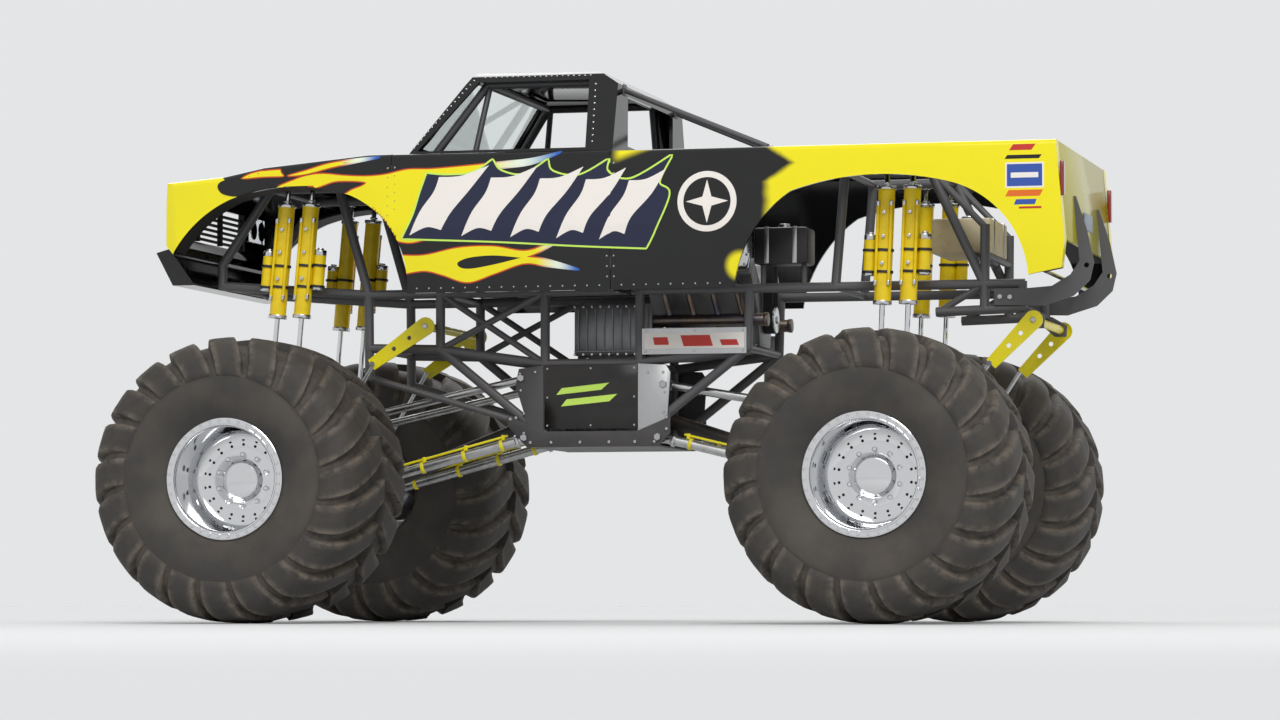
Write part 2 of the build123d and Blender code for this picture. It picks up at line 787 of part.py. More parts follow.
def link(head, foot, radius):
    """A bar with an eye at each end, and the pin that holds it to the plate beside it."""
    half = LINK_EYE_W / 2
    (x, y, z), (foot_x, foot_y, foot_z) = head, foot
    return fused(
        [
            bar(head, foot, radius),
            bar((x, y - half, z), (x, y + half, z), LINK_EYE_R),
            bar(head, (x, PLATE_IN - SEAT_GAP, z), LINK_PIN_R),
            bar((foot_x, foot_y - half, foot_z), (foot_x, foot_y + half, foot_z), LINK_EYE_R),
        ]
    )


def links():
    """Four bars to each axle: two low ones from the keel plates, two high ones from the gussets."""
    bars = []
    for axle_x, way, low, high in LINK_PINS:
        for (x, z), (dx, foot_z), foot_y, radius in (
            (low, LOWER_LINK_FOOT, LOWER_LINK_Y, LINK_R),
            (high, UPPER_LINK_FOOT, UPPER_LINK_Y, UPPER_LINK_R),
        ):
            foot = (axle_x - way * dx, foot_y, foot_z)
            bars.append(link((x, LINK_HEAD_Y, z), foot, radius))
    save("link_bars", *both_sides(bars))


def sway_arm(pivot, tip):
    """A flat arm with a rounded pivot end and two lightening holes along it."""
    start, end = Vector(pivot[0], 0, pivot[1]), Vector(tip[0], 0, tip[1])
    way = (end - start).normalized()
    across = Vector(way.Z, 0, -way.X)
    corners = [start + across * 55, end + across * 36, end - across * 36, start - across * 55]
    near, far = SWAY_Y, SWAY_Y + SWAY_T
    boss = bar((start.X, near, start.Z), (start.X, far, start.Z), 55)
    arm = fused([plate([(c.X, c.Z) for c in corners], (near, far)), boss])
    for share in (0.30, 0.58):
        at = start + (end - start) * share
        arm = arm.cut(bar((at.X, near - 1, at.Z), (at.X, far + 1, at.Z), 14))
    return arm


def sway_bars():
    arms, drops = [], []
    drop_y = SWAY_Y - SWAY_LINK_R - SEAT_GAP
    for name, axle_x, way in AXLES:
        pivot, tip = SWAY_PIVOTS[name], SWAY_TIPS[name]
        cross = cross_bar(*pivot, SWAY_Y, SWAY_BAR_R)
        arms.append(fused([cross, *both_sides([sway_arm(pivot, tip)])]))
        head = (tip[0] - way * 12, drop_y, tip[1] + 10)
        drops.append(bar(head, (axle_x - SWAY_FOOT_DX, drop_y, SWAY_FOOT_Z), SWAY_LINK_R))
    save("sway_bars", *arms)
    save("sway_links", *both_sides(drops))


# Engine and driveline

ENGINE_X = (-915, -260)
CRANK_Z = JOINTS["f_low"][1] + BRACE_R + SEAT_GAP + 170  # the sump stands on a cross tube
# Left halves of sections seen from ahead, from the crank's centre: Y and Z. A head stands on the
# deck; the crankcase ends in the floor of the valley between the decks.
DECK = [(330, 190), (230, 290)]
CRANKCASE = [(140, -170), (190, 40), *DECK, (0, 120)]
BLOWER = [(130, 560), (130, 300), (150, 300), (150, 232), (0, 121)]
INTAKE_HAT = [(95, 560 + SEAT_GAP), (105, 640), (150, 860), (190, 900), (190, 990), (160, 1030)]
HEAD_H = 95
COVER_H = 52


def engine_prism(half, x):
    return front_prism([(y, z + CRANK_Z) for y, z in half], x)


def bank_piece(width, low, high, x):
    """A bar of the left bank, centred over its deck between two heights above it."""
    middle = (Vector(*DECK[0]) + Vector(*DECK[1])) / 2
    at = middle + Vector(1, 1).normalized() * (low + high) / 2
    face = Pos(at.X, at.Y + CRANK_Z) * Rot(0, 0, -45) * Rectangle(width, high - low)
    return extrude(Plane.YZ * face, amount=x[1] - x[0]).moved(Location((x[0], 0, 0)))


def engine():
    """A V8 behind the cab with its heads and covers, its blower in the valley and the air intake."""
    save("engine_block", engine_prism(CRANKCASE, ENGINE_X))
    head_top = SEAT_GAP + HEAD_H
    save("cylinder_heads", *both_sides([bank_piece(138, SEAT_GAP, head_top, ENGINE_X)]))
    cover_low = head_top + SEAT_GAP
    cover_x = (ENGINE_X[0] + 15, ENGINE_X[1] - 15)
    save("valve_covers", *both_sides([bank_piece(112, cover_low, cover_low + COVER_H, cover_x)]))
    save("blower", engine_prism(BLOWER, (-800, -340)))
    save("intake_hat", engine_prism(INTAKE_HAT, (-760, -380)))


def driveline():
    save("gearbox", block((ENGINE_X[1] + SEAT_GAP, 240), (-170, 170), (1620, 1930)))
    case = block(CASE_X, (-230, 230), (KEEL_Z + PLATE_T + SEAT_GAP, 1500))
    save("transfer_case", case)
    shafts = []
    for (_, axle_x, way), case_x in zip(AXLES, reversed(CASE_X)):
        pinion_x = axle_x - way * PINION_L
        near = (case_x + way * SEAT_GAP, case_x + way * FLANGE_T)
        far = (pinion_x - way * SEAT_GAP, pinion_x - way * FLANGE_T)
        pieces = [
            bar((near[0], 0, SHAFT_Z), (near[1], 0, SHAFT_Z), FLANGE_R),
            bar((near[1], 0, SHAFT_Z), (far[1], 0, AXLE_Z), DRIVESHAFT_R),
            bar((far[1], 0, AXLE_Z), (far[0], 0, AXLE_Z), FLANGE_R),
        ]
        shafts.append(fused(pieces))
    save("driveshafts", *shafts)


# Body


def body_prism(face):
    return side_prism(face, (-BODY_Y - 50, BODY_Y + 50))


def body_form(side_face, inset):
    """What lies inside a side outline, the body's section and its plan, all at one inset."""
    plan = plan_half(inset)
    outline = plan + [(x, -y) for x, y in reversed(plan)]
    from_above = extrude(make_face(Polyline(*outline, close=True)), amount=4000)
    return body_prism(side_face) & front_prism(section_half(inset), (-3200, 3200)) & from_above


def rounded_shoulders(form, radius, above):
    """Rounds the edges where a form's top meets its sides."""
    solid = form.solids()[0]
    edges = [
        edge
        for edge in solid.edges()
        if edge.center().Z > above
        and abs(edge.center().Y) > 850
        and edge.bounding_box().size.X > 100
    ]
    return solid.fillet(radius, edges)


def front_arch(grow=0):
    """The front wheel's opening, grown outwards by a wall or a gap."""
    aft, high_aft = (1054 - grow, 1983), (1420 - grow / 2, 2560 + grow)
    high_fore, fore = (2180 + grow / 2, 2555 + grow), (2560 + grow, 2233)
    return make_face(
        [
            ThreePointArc(aft, (1165 - grow, 2365 + grow / 2), high_aft),
            ThreePointArc(high_aft, (1794, 2618 + grow), high_fore),
            ThreePointArc(high_fore, (2420 + grow, 2405 + grow / 2), fore),
            Polyline(fore, (fore[0], 1600), (aft[0], 1600), aft),
        ]
    )


def rear_arch():
    aft, high_aft, high_fore, fore = (-2684, 2007), (-2250, 2548), (-1290, 2520), (-946, 1977)
    return make_face(
        [
            ThreePointArc(fore, (-1070, 2300), high_fore),
            ThreePointArc(high_fore, (-1750, 2605), high_aft),
            ThreePointArc(high_aft, (-2530, 2370), aft),
            Polyline(aft, (aft[0], 1600), (fore[0], 1600), fore),
        ]
    )


def clip_side(inset):
    back = CAB_FRONT + SEAM / 2 - 2 * inset
    return make_face(
        Polyline(
            (2608 - inset, 2666 - inset), (2243, 2692 - inset), (1969, 2743 - inset),
            (1294, 2799 - inset), (back, 2800 - inset), (back, 1750), (2400, 1750),
            (2562 - inset, 2232), (2604 - inset, 2272), (2628 - inset, 2300), close=True,
        )
    )


def grille():
    reach, low, high = GRILLE_Y - SEAT_GAP, GRILLE_Z[0] + SEAT_GAP, GRILLE_Z[1] - SEAT_GAP
    levels = range(GRILLE_Z[0] + 14, GRILLE_Z[1] - 14, 34)
    slats = [block((2584, 2608), (-reach, reach), (z, z + 14)) for z in levels]
    posts = [block((2570, 2600), (y, y + 24), (low, high)) for y in (-reach, -12, reach - 24)]
    return fused(slats + posts)


def wheel_housing():
    """A curved liner over the left front wheel, from the shocks out to the fender's skin."""
    span = (LINER_Y, BODY_Y)
    liner = side_prism(front_arch(LINER_T + 2), span).cut(side_prism(front_arch(2), (0, 2 * BODY_Y)))
    room = body_form(clip_side(SKIN + SEAT_GAP), SKIN + SEAT_GAP)
    keep = block((CAB_FRONT + 10, 2600), span, (2000, 2700))
    return liner & keep & room


def front_clip():
    """The one-piece hood, fenders and nose, with its grille, lamps and wheel housings."""
    outer = rounded_shoulders(body_form(clip_side(0), 0), SHOULDER_R, 2600)
    inner = body_form(clip_side(SKIN), SKIN)
    grille_way = block((2500, 2700), (-GRILLE_Y, GRILLE_Y), GRILLE_Z)
    lamp_ways = both_sides([block((2500, 2700), LAMP_Y, LAMP_Z)])
    save("front_clip", outer.cut(inner, body_prism(front_arch()), grille_way, *lamp_ways))
    save("grille", grille())
    lamp_y = (LAMP_Y[0] + SEAT_GAP, LAMP_Y[1] - SEAT_GAP)
    lens = block((2570, 2610), lamp_y, (LAMP_Z[0] + SEAT_GAP, LAMP_Z[1] - SEAT_GAP))
    save("headlamps", *both_sides([lens]))
    save("wheel_housings", *both_sides([wheel_housing()]))


def cab_side(inset):
    front, back = CAB_FRONT - SEAM / 2 + 2 * inset, CAB_REAR + SEAM / 2 + inset
    top = BELT_Z - inset
    return make_face(
        Polyline((front, 1750), (front, top + 7), (back, top), (back, 1750), close=True)
    )


def greenhouse(inset):
    """The cab above the belt line: raked screen, roof and rear, with the sides leaning in."""
    low = BELT_Z - 20 - inset
    side = plate(
        [
            (1083 - inset * 1.6, low), (690 - inset * 0.6, 3300 - inset), (-80 + inset * 0.4, 3285 - inset),
            (CAB_REAR + inset, 3206 - inset), (CAB_REAR + SEAM / 2 + inset, low),
        ],
        (-BODY_Y, BODY_Y),
    )
    half = [
        (935 - inset, low - 10), (ROOF_Y + 30 - inset, 3220 - inset),
        (ROOF_Y + 5 - inset, 3270 - inset), (ROOF_Y - 60 - inset, 3300 - inset),
    ]
    return side & front_prism(half, (-400, 1300))


def screen_way(inset):
    """The opening for the windscreen as seen from ahead, narrower at the top."""
    return front_prism([(860 - inset, 2820), (715 - inset, 3260)], (0, 1400))


def cab():
    """The cab's shell, open below, with its side windows, rear window and windscreen."""
    outer = fused([rounded_shoulders(body_form(cab_side(0), 0), SHOULDER_R - 8, 2700), greenhouse(0)])
    inner = fused([body_form(cab_side(SKIN), SKIN), greenhouse(SKIN)])
    openings = [
        block((-2900, 2700), (-1100, 1100), (1600, SILL_Z)),
        block((-300, 1250), (-FRAME_Y - 45, FRAME_Y + 45), (1600, 2035)),
        body_prism(front_arch()),
        plate([(1010, 2815), (665, 3235), (-20, 3235), (-30, 2815)], (-1100, 1100)),
        plate([(1200, 2835), (940, 2835), (600, 3245), (1200, 3245)], (-BODY_Y, BODY_Y)) & screen_way(0),
        block((-400, -100), (-560, 560), (2850, 3150)),
    ]
    save("cab_shell", outer.cut(inner, *openings))
    pane = plate([(1030, 2836), (1017, 2836), (714, 3244), (728, 3244)], (-BODY_Y, BODY_Y))
    save("windscreen", pane & screen_way(SEAT_GAP))


def bed_side(inset):
    front, top = CAB_REAR - SEAM / 2, BELT_Z - 4 - inset
    return make_face(
        Polyline(
            (front, 1750), (front, top), (TAIL_X + inset, top), (-2896 + inset, 2207),
            (-2878 + inset, 2044 + inset), (-2684, 2007 - inset), (-2684, 1750), close=True,
        )
    )


def bed():
    """The bed's sides with their turned-in rails, open above and below, and the tailgate."""
    outer = rounded_shoulders(body_form(bed_side(0), 0), SHOULDER_R - 8, 2700)
    inner = body_form(bed_side(SKIN), SKIN)
    inside = BODY_Y - SKIN - 42
    openings = [
        block((CAB_REAR - 200, CAB_REAR + 50), (-inside, inside), (1600, BELT_Z - SKIN - 4)),
        block((-2790, CAB_REAR + 50), (-BODY_Y + 130, BODY_Y - 130), (2600, 2900)),
        block((-2950, -2790), (-GATE_Y, GATE_Y), (1600, 2900)),
        block((-2700, 0), (-1100, 1100), (1600, SILL_Z)),
        body_prism(rear_arch()),
    ]
    save("bed_shell", outer.cut(inner, *openings))
    top = BELT_Z - 6
    face = [(TAIL_X, top), GATE_LOW, (GATE_LOW[0] + SKIN, GATE_LOW[1]), (TAIL_X + SKIN, top)]
    save("tailgate", plate(face, (-GATE_Y + SEAT_GAP, GATE_Y - SEAT_GAP)))


def front_bumper():
    """A bent valance under the nose, closed by a plate at each end."""
    low, high = 2044, 2056
    lip = JOINTS["nose_low"][0] + RAIL_R + SEAT_GAP
    outside = [(2604, 2268), (2688, 2244), (2581, low), (lip, low)]
    inside = [(lip, high), (2574, high), (2668, 2236), (2604, 2254)]
    ends = both_sides([plate(outside, (838, 850))])
    save("front_bumper", fused([plate(outside + inside, (-850, 850)), *ends]))


# Cab inside

FOOT_Z = JOINTS["a_top"][1] + RAIL_R + CAGE_R + SEAT_GAP  # the outriggers lie on the top rails
FLOOR_Z = FOOT_Z + CAGE_R + SEAT_GAP
FLOOR_T = 12
DASH_X = (800, 840)
BELT_BAR = ((985, CAGE_Y, 2740), (-70, CAGE_Y - 29, 2700))  # the cage's bar along each door
BELT_BAR_R = 21


def cage():
    """The roll cage, on outriggers that lie across the frame's rails and carry the cab."""
    fore_foot, fore_belt, fore_top = (1000, CAGE_Y, FOOT_Z), BELT_BAR[0], (640, 680, 3230)
    aft_foot, aft_top = (-110, CAGE_Y, FOOT_Z), (-40, 680, 3230)
    side = [
        (fore_foot, fore_belt, CAGE_R),
        (fore_belt, fore_top, CAGE_R),
        (fore_top, aft_top, CAGE_R),
        (aft_top, aft_foot, CAGE_R),
        ((625, 683, 3220), (700, CAGE_Y, 2735), 18),
        (*BELT_BAR, BELT_BAR_R),
    ]
    pieces = both_sides([bar(a, b, r, past=r / 3) for a, b, r in side])
    for x, _, z in (fore_foot, aft_foot):
        pieces.append(cross_bar(x, z, skin_reach(x, z, CAGE_R), CAGE_R))
    for x, y, z in (fore_top, aft_top):
        pieces.append(cross_bar(x, z, y, CAGE_R - 1))
    save("cab_cage", fused(pieces))


def interior():
    save("floor_pan", block((-120, 1010), (-380, 380), (FLOOR_Z, FLOOR_Z + FLOOR_T)))
    seat_z = FLOOR_Z + FLOOR_T + SEAT_GAP
    profile = [(-60, seat_z), (330, seat_z), (390, 2210), (90, 2260), (10, 2900), (-125, 2900)]
    save("seat", plate(profile, (-250, 250)))
    centre, foot = (545, 0, 2572), (835, 0, 2340)
    hub = Plane(origin=centre, z_dir=Vector(*centre) - Vector(*foot))
    grip = extrude(hub * (RegularPolygon(175, 20) - RegularPolygon(148, 20)), amount=12, both=True)
    spokes = extrude(hub * Rectangle(30, 310), amount=5, both=True)
    save("steering_wheel", fused([bar(foot, centre, 22), grip, spokes]))
    (fore_x, fore_y, fore_z), (aft_x, aft_y, aft_z) = BELT_BAR
    along = (fore_x - DASH_X[0]) / (fore_x - aft_x)
    reach = fore_y + (aft_y - fore_y) * along
    top = fore_z + (aft_z - fore_z) * along - BELT_BAR_R - 2 * SEAT_GAP
    dash = block(DASH_X, (-reach, reach), (2360, top))
    save("dash_panel", dash.cut(bar(foot, centre, 22 + SEAT_GAP, past=40)))


def tanks():
    save("fuel_cell", block((-2350, -1991), (-300, 300), CELL_Z))
    save("oil_tank", block(TANK_X, (300, 520), TANK_Z))


def main():
    wheels_and_knuckles()
    axles_and_steering()
    frame()
    plates()
    hoops()
    shocks()
    links()
    sway_bars()
    engine()
    driveline()
    front_clip()
    cab()
    bed()
    front_bumper()
    cage()
    interior()
    tanks()


main()
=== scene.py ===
"""Dresses the monster truck's solids with their real surfaces, paintwork and small parts."""

import json
import logging
import math
from collections.abc import Callable, Iterable, Sequence
from dataclasses import dataclass, field
from enum import Enum
from functools import reduce
from itertools import zip_longest

import bpy
from mathutils import Matrix, Vector
from mathutils.bvhtree import BVHTree
from mathutils.geometry import delaunay_2d_cdt, intersect_point_line


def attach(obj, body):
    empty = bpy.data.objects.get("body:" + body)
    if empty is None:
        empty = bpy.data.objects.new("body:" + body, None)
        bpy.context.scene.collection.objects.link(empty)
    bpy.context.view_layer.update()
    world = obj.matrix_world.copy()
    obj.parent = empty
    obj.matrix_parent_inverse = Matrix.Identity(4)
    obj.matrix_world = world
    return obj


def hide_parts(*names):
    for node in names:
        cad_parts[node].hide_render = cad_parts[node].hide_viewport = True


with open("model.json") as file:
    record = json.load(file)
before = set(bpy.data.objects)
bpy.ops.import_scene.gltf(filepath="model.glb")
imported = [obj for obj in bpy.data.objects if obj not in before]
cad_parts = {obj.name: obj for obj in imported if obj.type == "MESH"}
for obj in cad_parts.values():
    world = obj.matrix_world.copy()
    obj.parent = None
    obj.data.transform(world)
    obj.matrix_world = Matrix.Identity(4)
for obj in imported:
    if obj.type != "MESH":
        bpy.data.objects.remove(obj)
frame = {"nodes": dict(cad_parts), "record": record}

log = logging.getLogger("truck")

Piece = bpy.types.Object
Tree = bpy.types.NodeTree
Socket = bpy.types.NodeSocket
Spot = tuple[float, float]
Point = tuple[float, float, float]
Rows = tuple[tuple[float, ...], ...]
Strokes = tuple[tuple[Spot, ...], ...]

ORIGIN_X = 0.131  # metres from the truck's origin to the middle of its wheelbase
AXLE_X, AXLE_Z = 1890, 838  # millimetres from there to an axle, and its height
NOSEWARD = Vector((1, 0, 0))
OUT = Vector((0, 1, 0))  # away from the truck on its left side
UP = Vector((0, 0, 1))
FLIP = Matrix.Scale(-1, 4, OUT)  # from the left side to the right


def at(x: float, y: float, z: float) -> Vector:
    """A place in the truck's frame, in metres, from millimetres off the wheelbase's middle."""
    return Vector((x / 1000 + ORIGIN_X, y / 1000, z / 1000))


def spaced(start: float, step: float, count: int) -> list[float]:
    """A number of places at even steps from a start."""
    return [start + i * step for i in range(count)]


# Bench tools


def deselect_all() -> None:
    """Leaves object mode with nothing selected."""
    if bpy.context.mode != "OBJECT":
        bpy.ops.object.mode_set(mode="OBJECT")
    bpy.ops.object.select_all(action="DESELECT")


def pick(piece: Piece) -> Piece:
    """Makes one piece the only selected and the active one.

    Args:
        piece: The piece.

    Returns:
        The same piece.
    """
    deselect_all()
    piece.select_set(True)
    bpy.context.view_layer.objects.active = piece
    return piece


def placed(name: str, data: bpy.types.ID) -> Piece:
    """A new object in the scene.

    Args:
        name: Its name.
        data: The mesh, curve, lamp or camera that it holds.

    Returns:
        The object.
    """
    thing = bpy.data.objects.new(name, data)
    bpy.context.scene.collection.objects.link(thing)
    return thing


def apply_modifier(piece: Piece, kind: str, **settings: object) -> Piece:
    """Adds a modifier and applies it.

    Args:
        piece: The piece to change.
        kind: The modifier's type.
        settings: Its settings by name.

    Returns:
        The piece.
    """
    modifier = piece.modifiers.new(kind.lower(), kind)
    for name, value in settings.items():
        setattr(modifier, name, value)
    pick(piece)
    bpy.ops.object.modifier_apply(modifier=modifier.name)
    return piece


def edited(piece: Piece, tool: Callable[..., object], **settings: object) -> Piece:
    """Runs an edit-mode operator on the whole of a piece.

    Args:
        piece: The piece to change.
        tool: The operator.
        settings: Its settings by name.

    Returns:
        The piece.
    """
    pick(piece)
    bpy.ops.object.mode_set(mode="EDIT")
    bpy.ops.mesh.select_all(action="SELECT")
    tool(**settings)
    bpy.ops.object.mode_set(mode="OBJECT")
    return piece


def turned_out(piece: Piece) -> Piece:
    """Turns every face of a closed piece outwards."""
    return edited(piece, bpy.ops.mesh.normals_make_consistent, inside=False)


def tidy_normals(piece: Piece) -> Piece:
    """Merges doubles and turns every face outwards."""
    return turned_out(edited(piece, bpy.ops.mesh.remove_doubles, threshold=1e-6))


def settle(piece: Piece) -> Piece:
    """Moves a piece's place, turn and size into its mesh.

    Args:
        piece: The piece.

    Returns:
        The same piece, at the origin.
    """
    pick(piece)
    bpy.ops.object.transform_apply(location=True, rotation=True, scale=True)
    return piece


def rod(start: Vector, end: Vector, radius: float, sides: int = 32, bevel: float = 0.0) -> Piece:
    """A round rod between two places.

    Args:
        start: One end, in metres.
        end: The other end.
        radius: In metres.
        sides: Flats round the rod.
        bevel: Width of the chamfer round both ends, in metres.

    Returns:
        The rod, with its place in its mesh.
    """
    deselect_all()
    run = end - start
    bpy.ops.mesh.primitive_cylinder_add(
        vertices=sides, radius=radius, depth=run.length, location=(start + end) / 2,
        rotation=run.to_track_quat("Z", "Y").to_euler(),
    )
    piece = settle(bpy.context.active_object)
    if bevel:
        settings = {"limit_method": "ANGLE", "angle_limit": 1.0}
        apply_modifier(piece, "BEVEL", width=bevel, segments=2, **settings)
    return piece


def rods(start: Vector, way: Vector, rows: Rows) -> list[Piece]:
    """Rods along one line.

    Args:
        start: A place on the line, in metres.
        way: Its way.
        rows: Each rod's start and end along it, radius, sides and chamfer, in metres.

    Returns:
        The rods.
    """
    return [rod(start + way * low, start + way * high, *rest) for low, high, *rest in rows]


def slab(low: Vector, high: Vector, bevel: float = 0.002, segments: int = 2) -> Piece:
    """A box between two corners with its edges rounded.

    Args:
        low: One corner, in metres.
        high: The opposite corner.
        bevel: Radius of the edges.
        segments: Steps round each edge.

    Returns:
        The box, with its place in its mesh.
    """
    deselect_all()
    bpy.ops.mesh.primitive_cube_add(size=1, location=(low + high) / 2)
    piece = bpy.context.active_object
    piece.scale = [abs(b - a) for a, b in zip(low, high)]
    return apply_modifier(settle(piece), "BEVEL", width=bevel, segments=segments)


def slabs(rows: Rows, bevel: float = 0.002, segments: int = 2, rise: float = 0.0) -> list[Piece]:
    """Boxes at places in the truck's own millimetres.

    Args:
        rows: The X, Y and Z of one corner and of the opposite one.
        bevel: Radius of the edges, in metres.
        segments: Steps round each edge.
        rise: Height added to all of them, in millimetres.

    Returns:
        The boxes.
    """
    up = UP * (rise / 1000)
    return [slab(at(*row[:3]) + up, at(*row[3:]) + up, bevel, segments) for row in rows]


def from_faces(
    name: str, corners: Iterable[Sequence[float]], faces: Iterable[Sequence[int]],
    edges: Iterable[Sequence[int]] = (),
) -> Piece:
    """A piece from its corners and what joins them.

    Args:
        name: Its name.
        corners: Their places.
        faces: The corners round each face, by number.
        edges: The ends of each edge without a face.

    Returns:
        The new piece.
    """
    mesh = bpy.data.meshes.new(name)
    mesh.from_pydata([tuple(c) for c in corners], list(edges), [list(face) for face in faces])
    mesh.update()
    return placed(name, mesh)


def lathe(profile: Sequence[Spot], steps: int) -> Piece:
    """Spins a profile about the Y axis through the origin.

    Args:
        profile: Places along Y and away from it, in millimetres, from pole to pole.
        steps: Flats round the piece.

    Returns:
        The closed turned piece.
    """
    edges = [(i, i + 1) for i in range(len(profile) - 1)]
    piece = from_faces("turned", [(0.0, y / 1000, r / 1000) for y, r in profile], [], edges)
    edited(piece, bpy.ops.mesh.spin, steps=steps, angle=2 * math.pi, center=(0, 0, 0), axis=OUT)
    return tidy_normals(piece)


def prism(outline: Sequence[Spot], y: Spot, bevel: float = 0.0) -> Piece:
    """Extrudes a side outline across the truck.

    Args:
        outline: Corners as X and Z, in millimetres.
        y: The lower and the higher value of Y, in millimetres.
        bevel: Radius of its edges in metres.

    Returns:
        The closed plate.
    """
    near, far = y
    piece = from_faces("plate", [at(x, near, z) for x, z in outline], [range(len(outline))])
    move = {"value": (0, (far - near) / 1000, 0)}
    tidy_normals(edited(piece, bpy.ops.mesh.extrude_region_move, TRANSFORM_OT_translate=move))
    if bevel:
        apply_modifier(piece, "BEVEL", width=bevel, segments=2, limit_method="ANGLE")
    return piece


def pipe(places: Sequence[Vector], radius: float) -> Piece:
    """A smooth round tube.

    Args:
        places: The places along its middle, in metres.
        radius: In metres.

    Returns:
        The tube as a closed mesh.
    """
    curve = bpy.data.curves.new("pipe", "CURVE")
    curve.dimensions, curve.bevel_depth, curve.bevel_resolution = "3D", radius, 5
    curve.use_fill_caps, curve.resolution_u = True, 10
    spline = curve.splines.new("BEZIER")
    spline.bezier_points.add(len(places) - 1)
    for knot, place in zip(spline.bezier_points, places):
        knot.co = place
        knot.handle_left_type = knot.handle_right_type = "AUTO"
    pick(placed("pipe", curve))
    bpy.ops.object.convert(target="MESH")
    return tidy_normals(bpy.context.active_object)


def joined(name: str, pieces: Iterable[Piece]) -> Piece:
    """Makes one piece of several.

    Args:
        name: The new piece's name.
        pieces: What goes into it; nothing of them is left over.

    Returns:
        The joined piece.
    """
    first, *others = pieces
    pick(first)
    for piece in others:
        piece.select_set(True)
    spare = [piece.data for piece in others]
    if spare:
        bpy.ops.object.join()
    for mesh in spare:
        bpy.data.meshes.remove(mesh)
    first.name = name
    return first


def copied(piece: Piece, moves: Iterable[Matrix]) -> list[Piece]:
    """Copies of a modelled piece, each with its own mesh.

    Args:
        piece: The piece to repeat, which is used up.
        moves: Where each copy goes.

    Returns:
        The copies.
    """
    copies = []
    for move in moves:
        mesh = piece.data.copy()
        mesh.transform(move)
        if move.determinant() < 0:
            mesh.flip_normals()
        copies.append(placed("copy", mesh))
    bpy.data.objects.remove(piece)
    return copies


def mirrored(pieces: Iterable[Piece]) -> list[Piece]:
    """The pieces of the left side and their mirror images on the right."""
    return [copy for piece in pieces for copy in copied(piece, [Matrix.Identity(4), FLIP])]


def aimed(place: Vector, way: Vector) -> Matrix:
    """A move from the origin to a place that turns Z along a way."""
    return Matrix.Translation(place) @ way.to_track_quat("Z", "Y").to_matrix().to_4x4()


def screws(spots: Iterable[tuple[Vector, Vector]], radius: float, height: float) -> list[Piece]:
    """Chamfered hexagon heads, a fifth of their height sunk in.

    Args:
        spots: Where each stands and the way it points, in metres.
        radius: Of the head's corners, in metres.
        height: In metres.

    Returns:
        The heads.
    """
    (head,) = rods(Vector(), UP, ((-height * 0.2, height, radius, 6),))
    settings = {"limit_method": "ANGLE", "angle_limit": 1.2}
    apply_modifier(head, "BEVEL", width=height * 0.18, segments=1, **settings)
    return copied(head, [aimed(place, way) for place, way in spots])


# Colours and surfaces


def srgb(code: str) -> tuple[float, float, float, float]:
    """Reads an sRGB hex code.

    Args:
        code: The colour, as a hash sign and six digits.

    Returns:
        The linear colour with full alpha.
    """
    parts = [int(code[i : i + 2], 16) / 255 for i in (1, 3, 5)]
    linear = [c / 12.92 if c <= 0.04045 else ((c + 0.055) / 1.055) ** 2.4 for c in parts]
    return (linear[0], linear[1], linear[2], 1.0)


def feed(tree: Tree, node: bpy.types.Node, inputs: dict) -> None:
    """Links or sets a node's inputs.

    Args:
        tree: The node's tree.
        node: The node.
        inputs: By name or number, an output to link, a hex code or a value to set.
    """
    for name, value in inputs.items():
        value = getattr(value, "socket", value)
        if isinstance(value, Socket):
            tree.links.new(value, node.inputs[name])
        else:
            node.inputs[name].default_value = srgb(value) if isinstance(value, str) else value


def add_node(
    tree: Tree, kind: str, inputs: dict | None = None, **settings: object
) -> bpy.types.Node:
    """Adds a node with its settings and links.

    Args:
        tree: The tree it goes into.
        kind: The node's type, without its first word.
        inputs: What its inputs get, by name or number.
        settings: The node's own settings.

    Returns:
        The new node.
    """
    node = tree.nodes.new(f"ShaderNode{kind}")
    for name, value in settings.items():
        setattr(node, name, value)
    feed(tree, node, inputs or {})
    return node


@dataclass
class Value:
    """A number in a node tree that is reckoned with like a plain one."""

    tree: Tree
    socket: Socket

    def reckoned(self, operation: str, *others: "Value | Socket | float") -> "Value":
        """The outcome of one of the math node's operations on this and other values."""
        inputs = dict(enumerate([self, *others]))
        return Value(self.tree, add_node(self.tree, "Math", inputs, operation=operation).outputs[0])

    def __add__(self, other: "Value | float") -> "Value":
        """The sum."""
        return self.reckoned("ADD", other)

    def __sub__(self, other: "Value | float") -> "Value":
        """The difference."""
        return self.reckoned("SUBTRACT", other)

    def __rsub__(self, other: float) -> "Value":
        """What is left of a number."""
        return self.reckoned("MULTIPLY_ADD", -1.0, other)

    def __mul__(self, other: "Value | float") -> "Value":
        """The product."""
        return self.reckoned("MULTIPLY", other)

    def __abs__(self) -> "Value":
        """The value without its sign."""
        return self.reckoned("ABSOLUTE")

    def most(self, *others: "Value | Socket | float") -> "Value":
        """The greatest of this and other values."""
        return reduce(lambda one, other: one.reckoned("MAXIMUM", other), others, self)

    def eased(self, low: float, high: float, top: float = 1.0) -> "Value":
        """Turns the value into a share with a soft rise.

        Args:
            low: Where it is still 0.
            high: Where it has reached the top.
            top: The most it gets to.

        Returns:
            The share.
        """
        inputs = {0: self, 1: low, 2: high, 3: 0.0, 4: top}
        node = add_node(self.tree, "MapRange", inputs, interpolation_type="SMOOTHSTEP")
        return Value(self.tree, node.outputs[0])


def parts_of(tree: Tree, vector: Socket) -> list[Value]:
    """A vector's X, Y and Z."""
    return [Value(tree, part) for part in add_node(tree, "SeparateXYZ", {0: vector}).outputs]


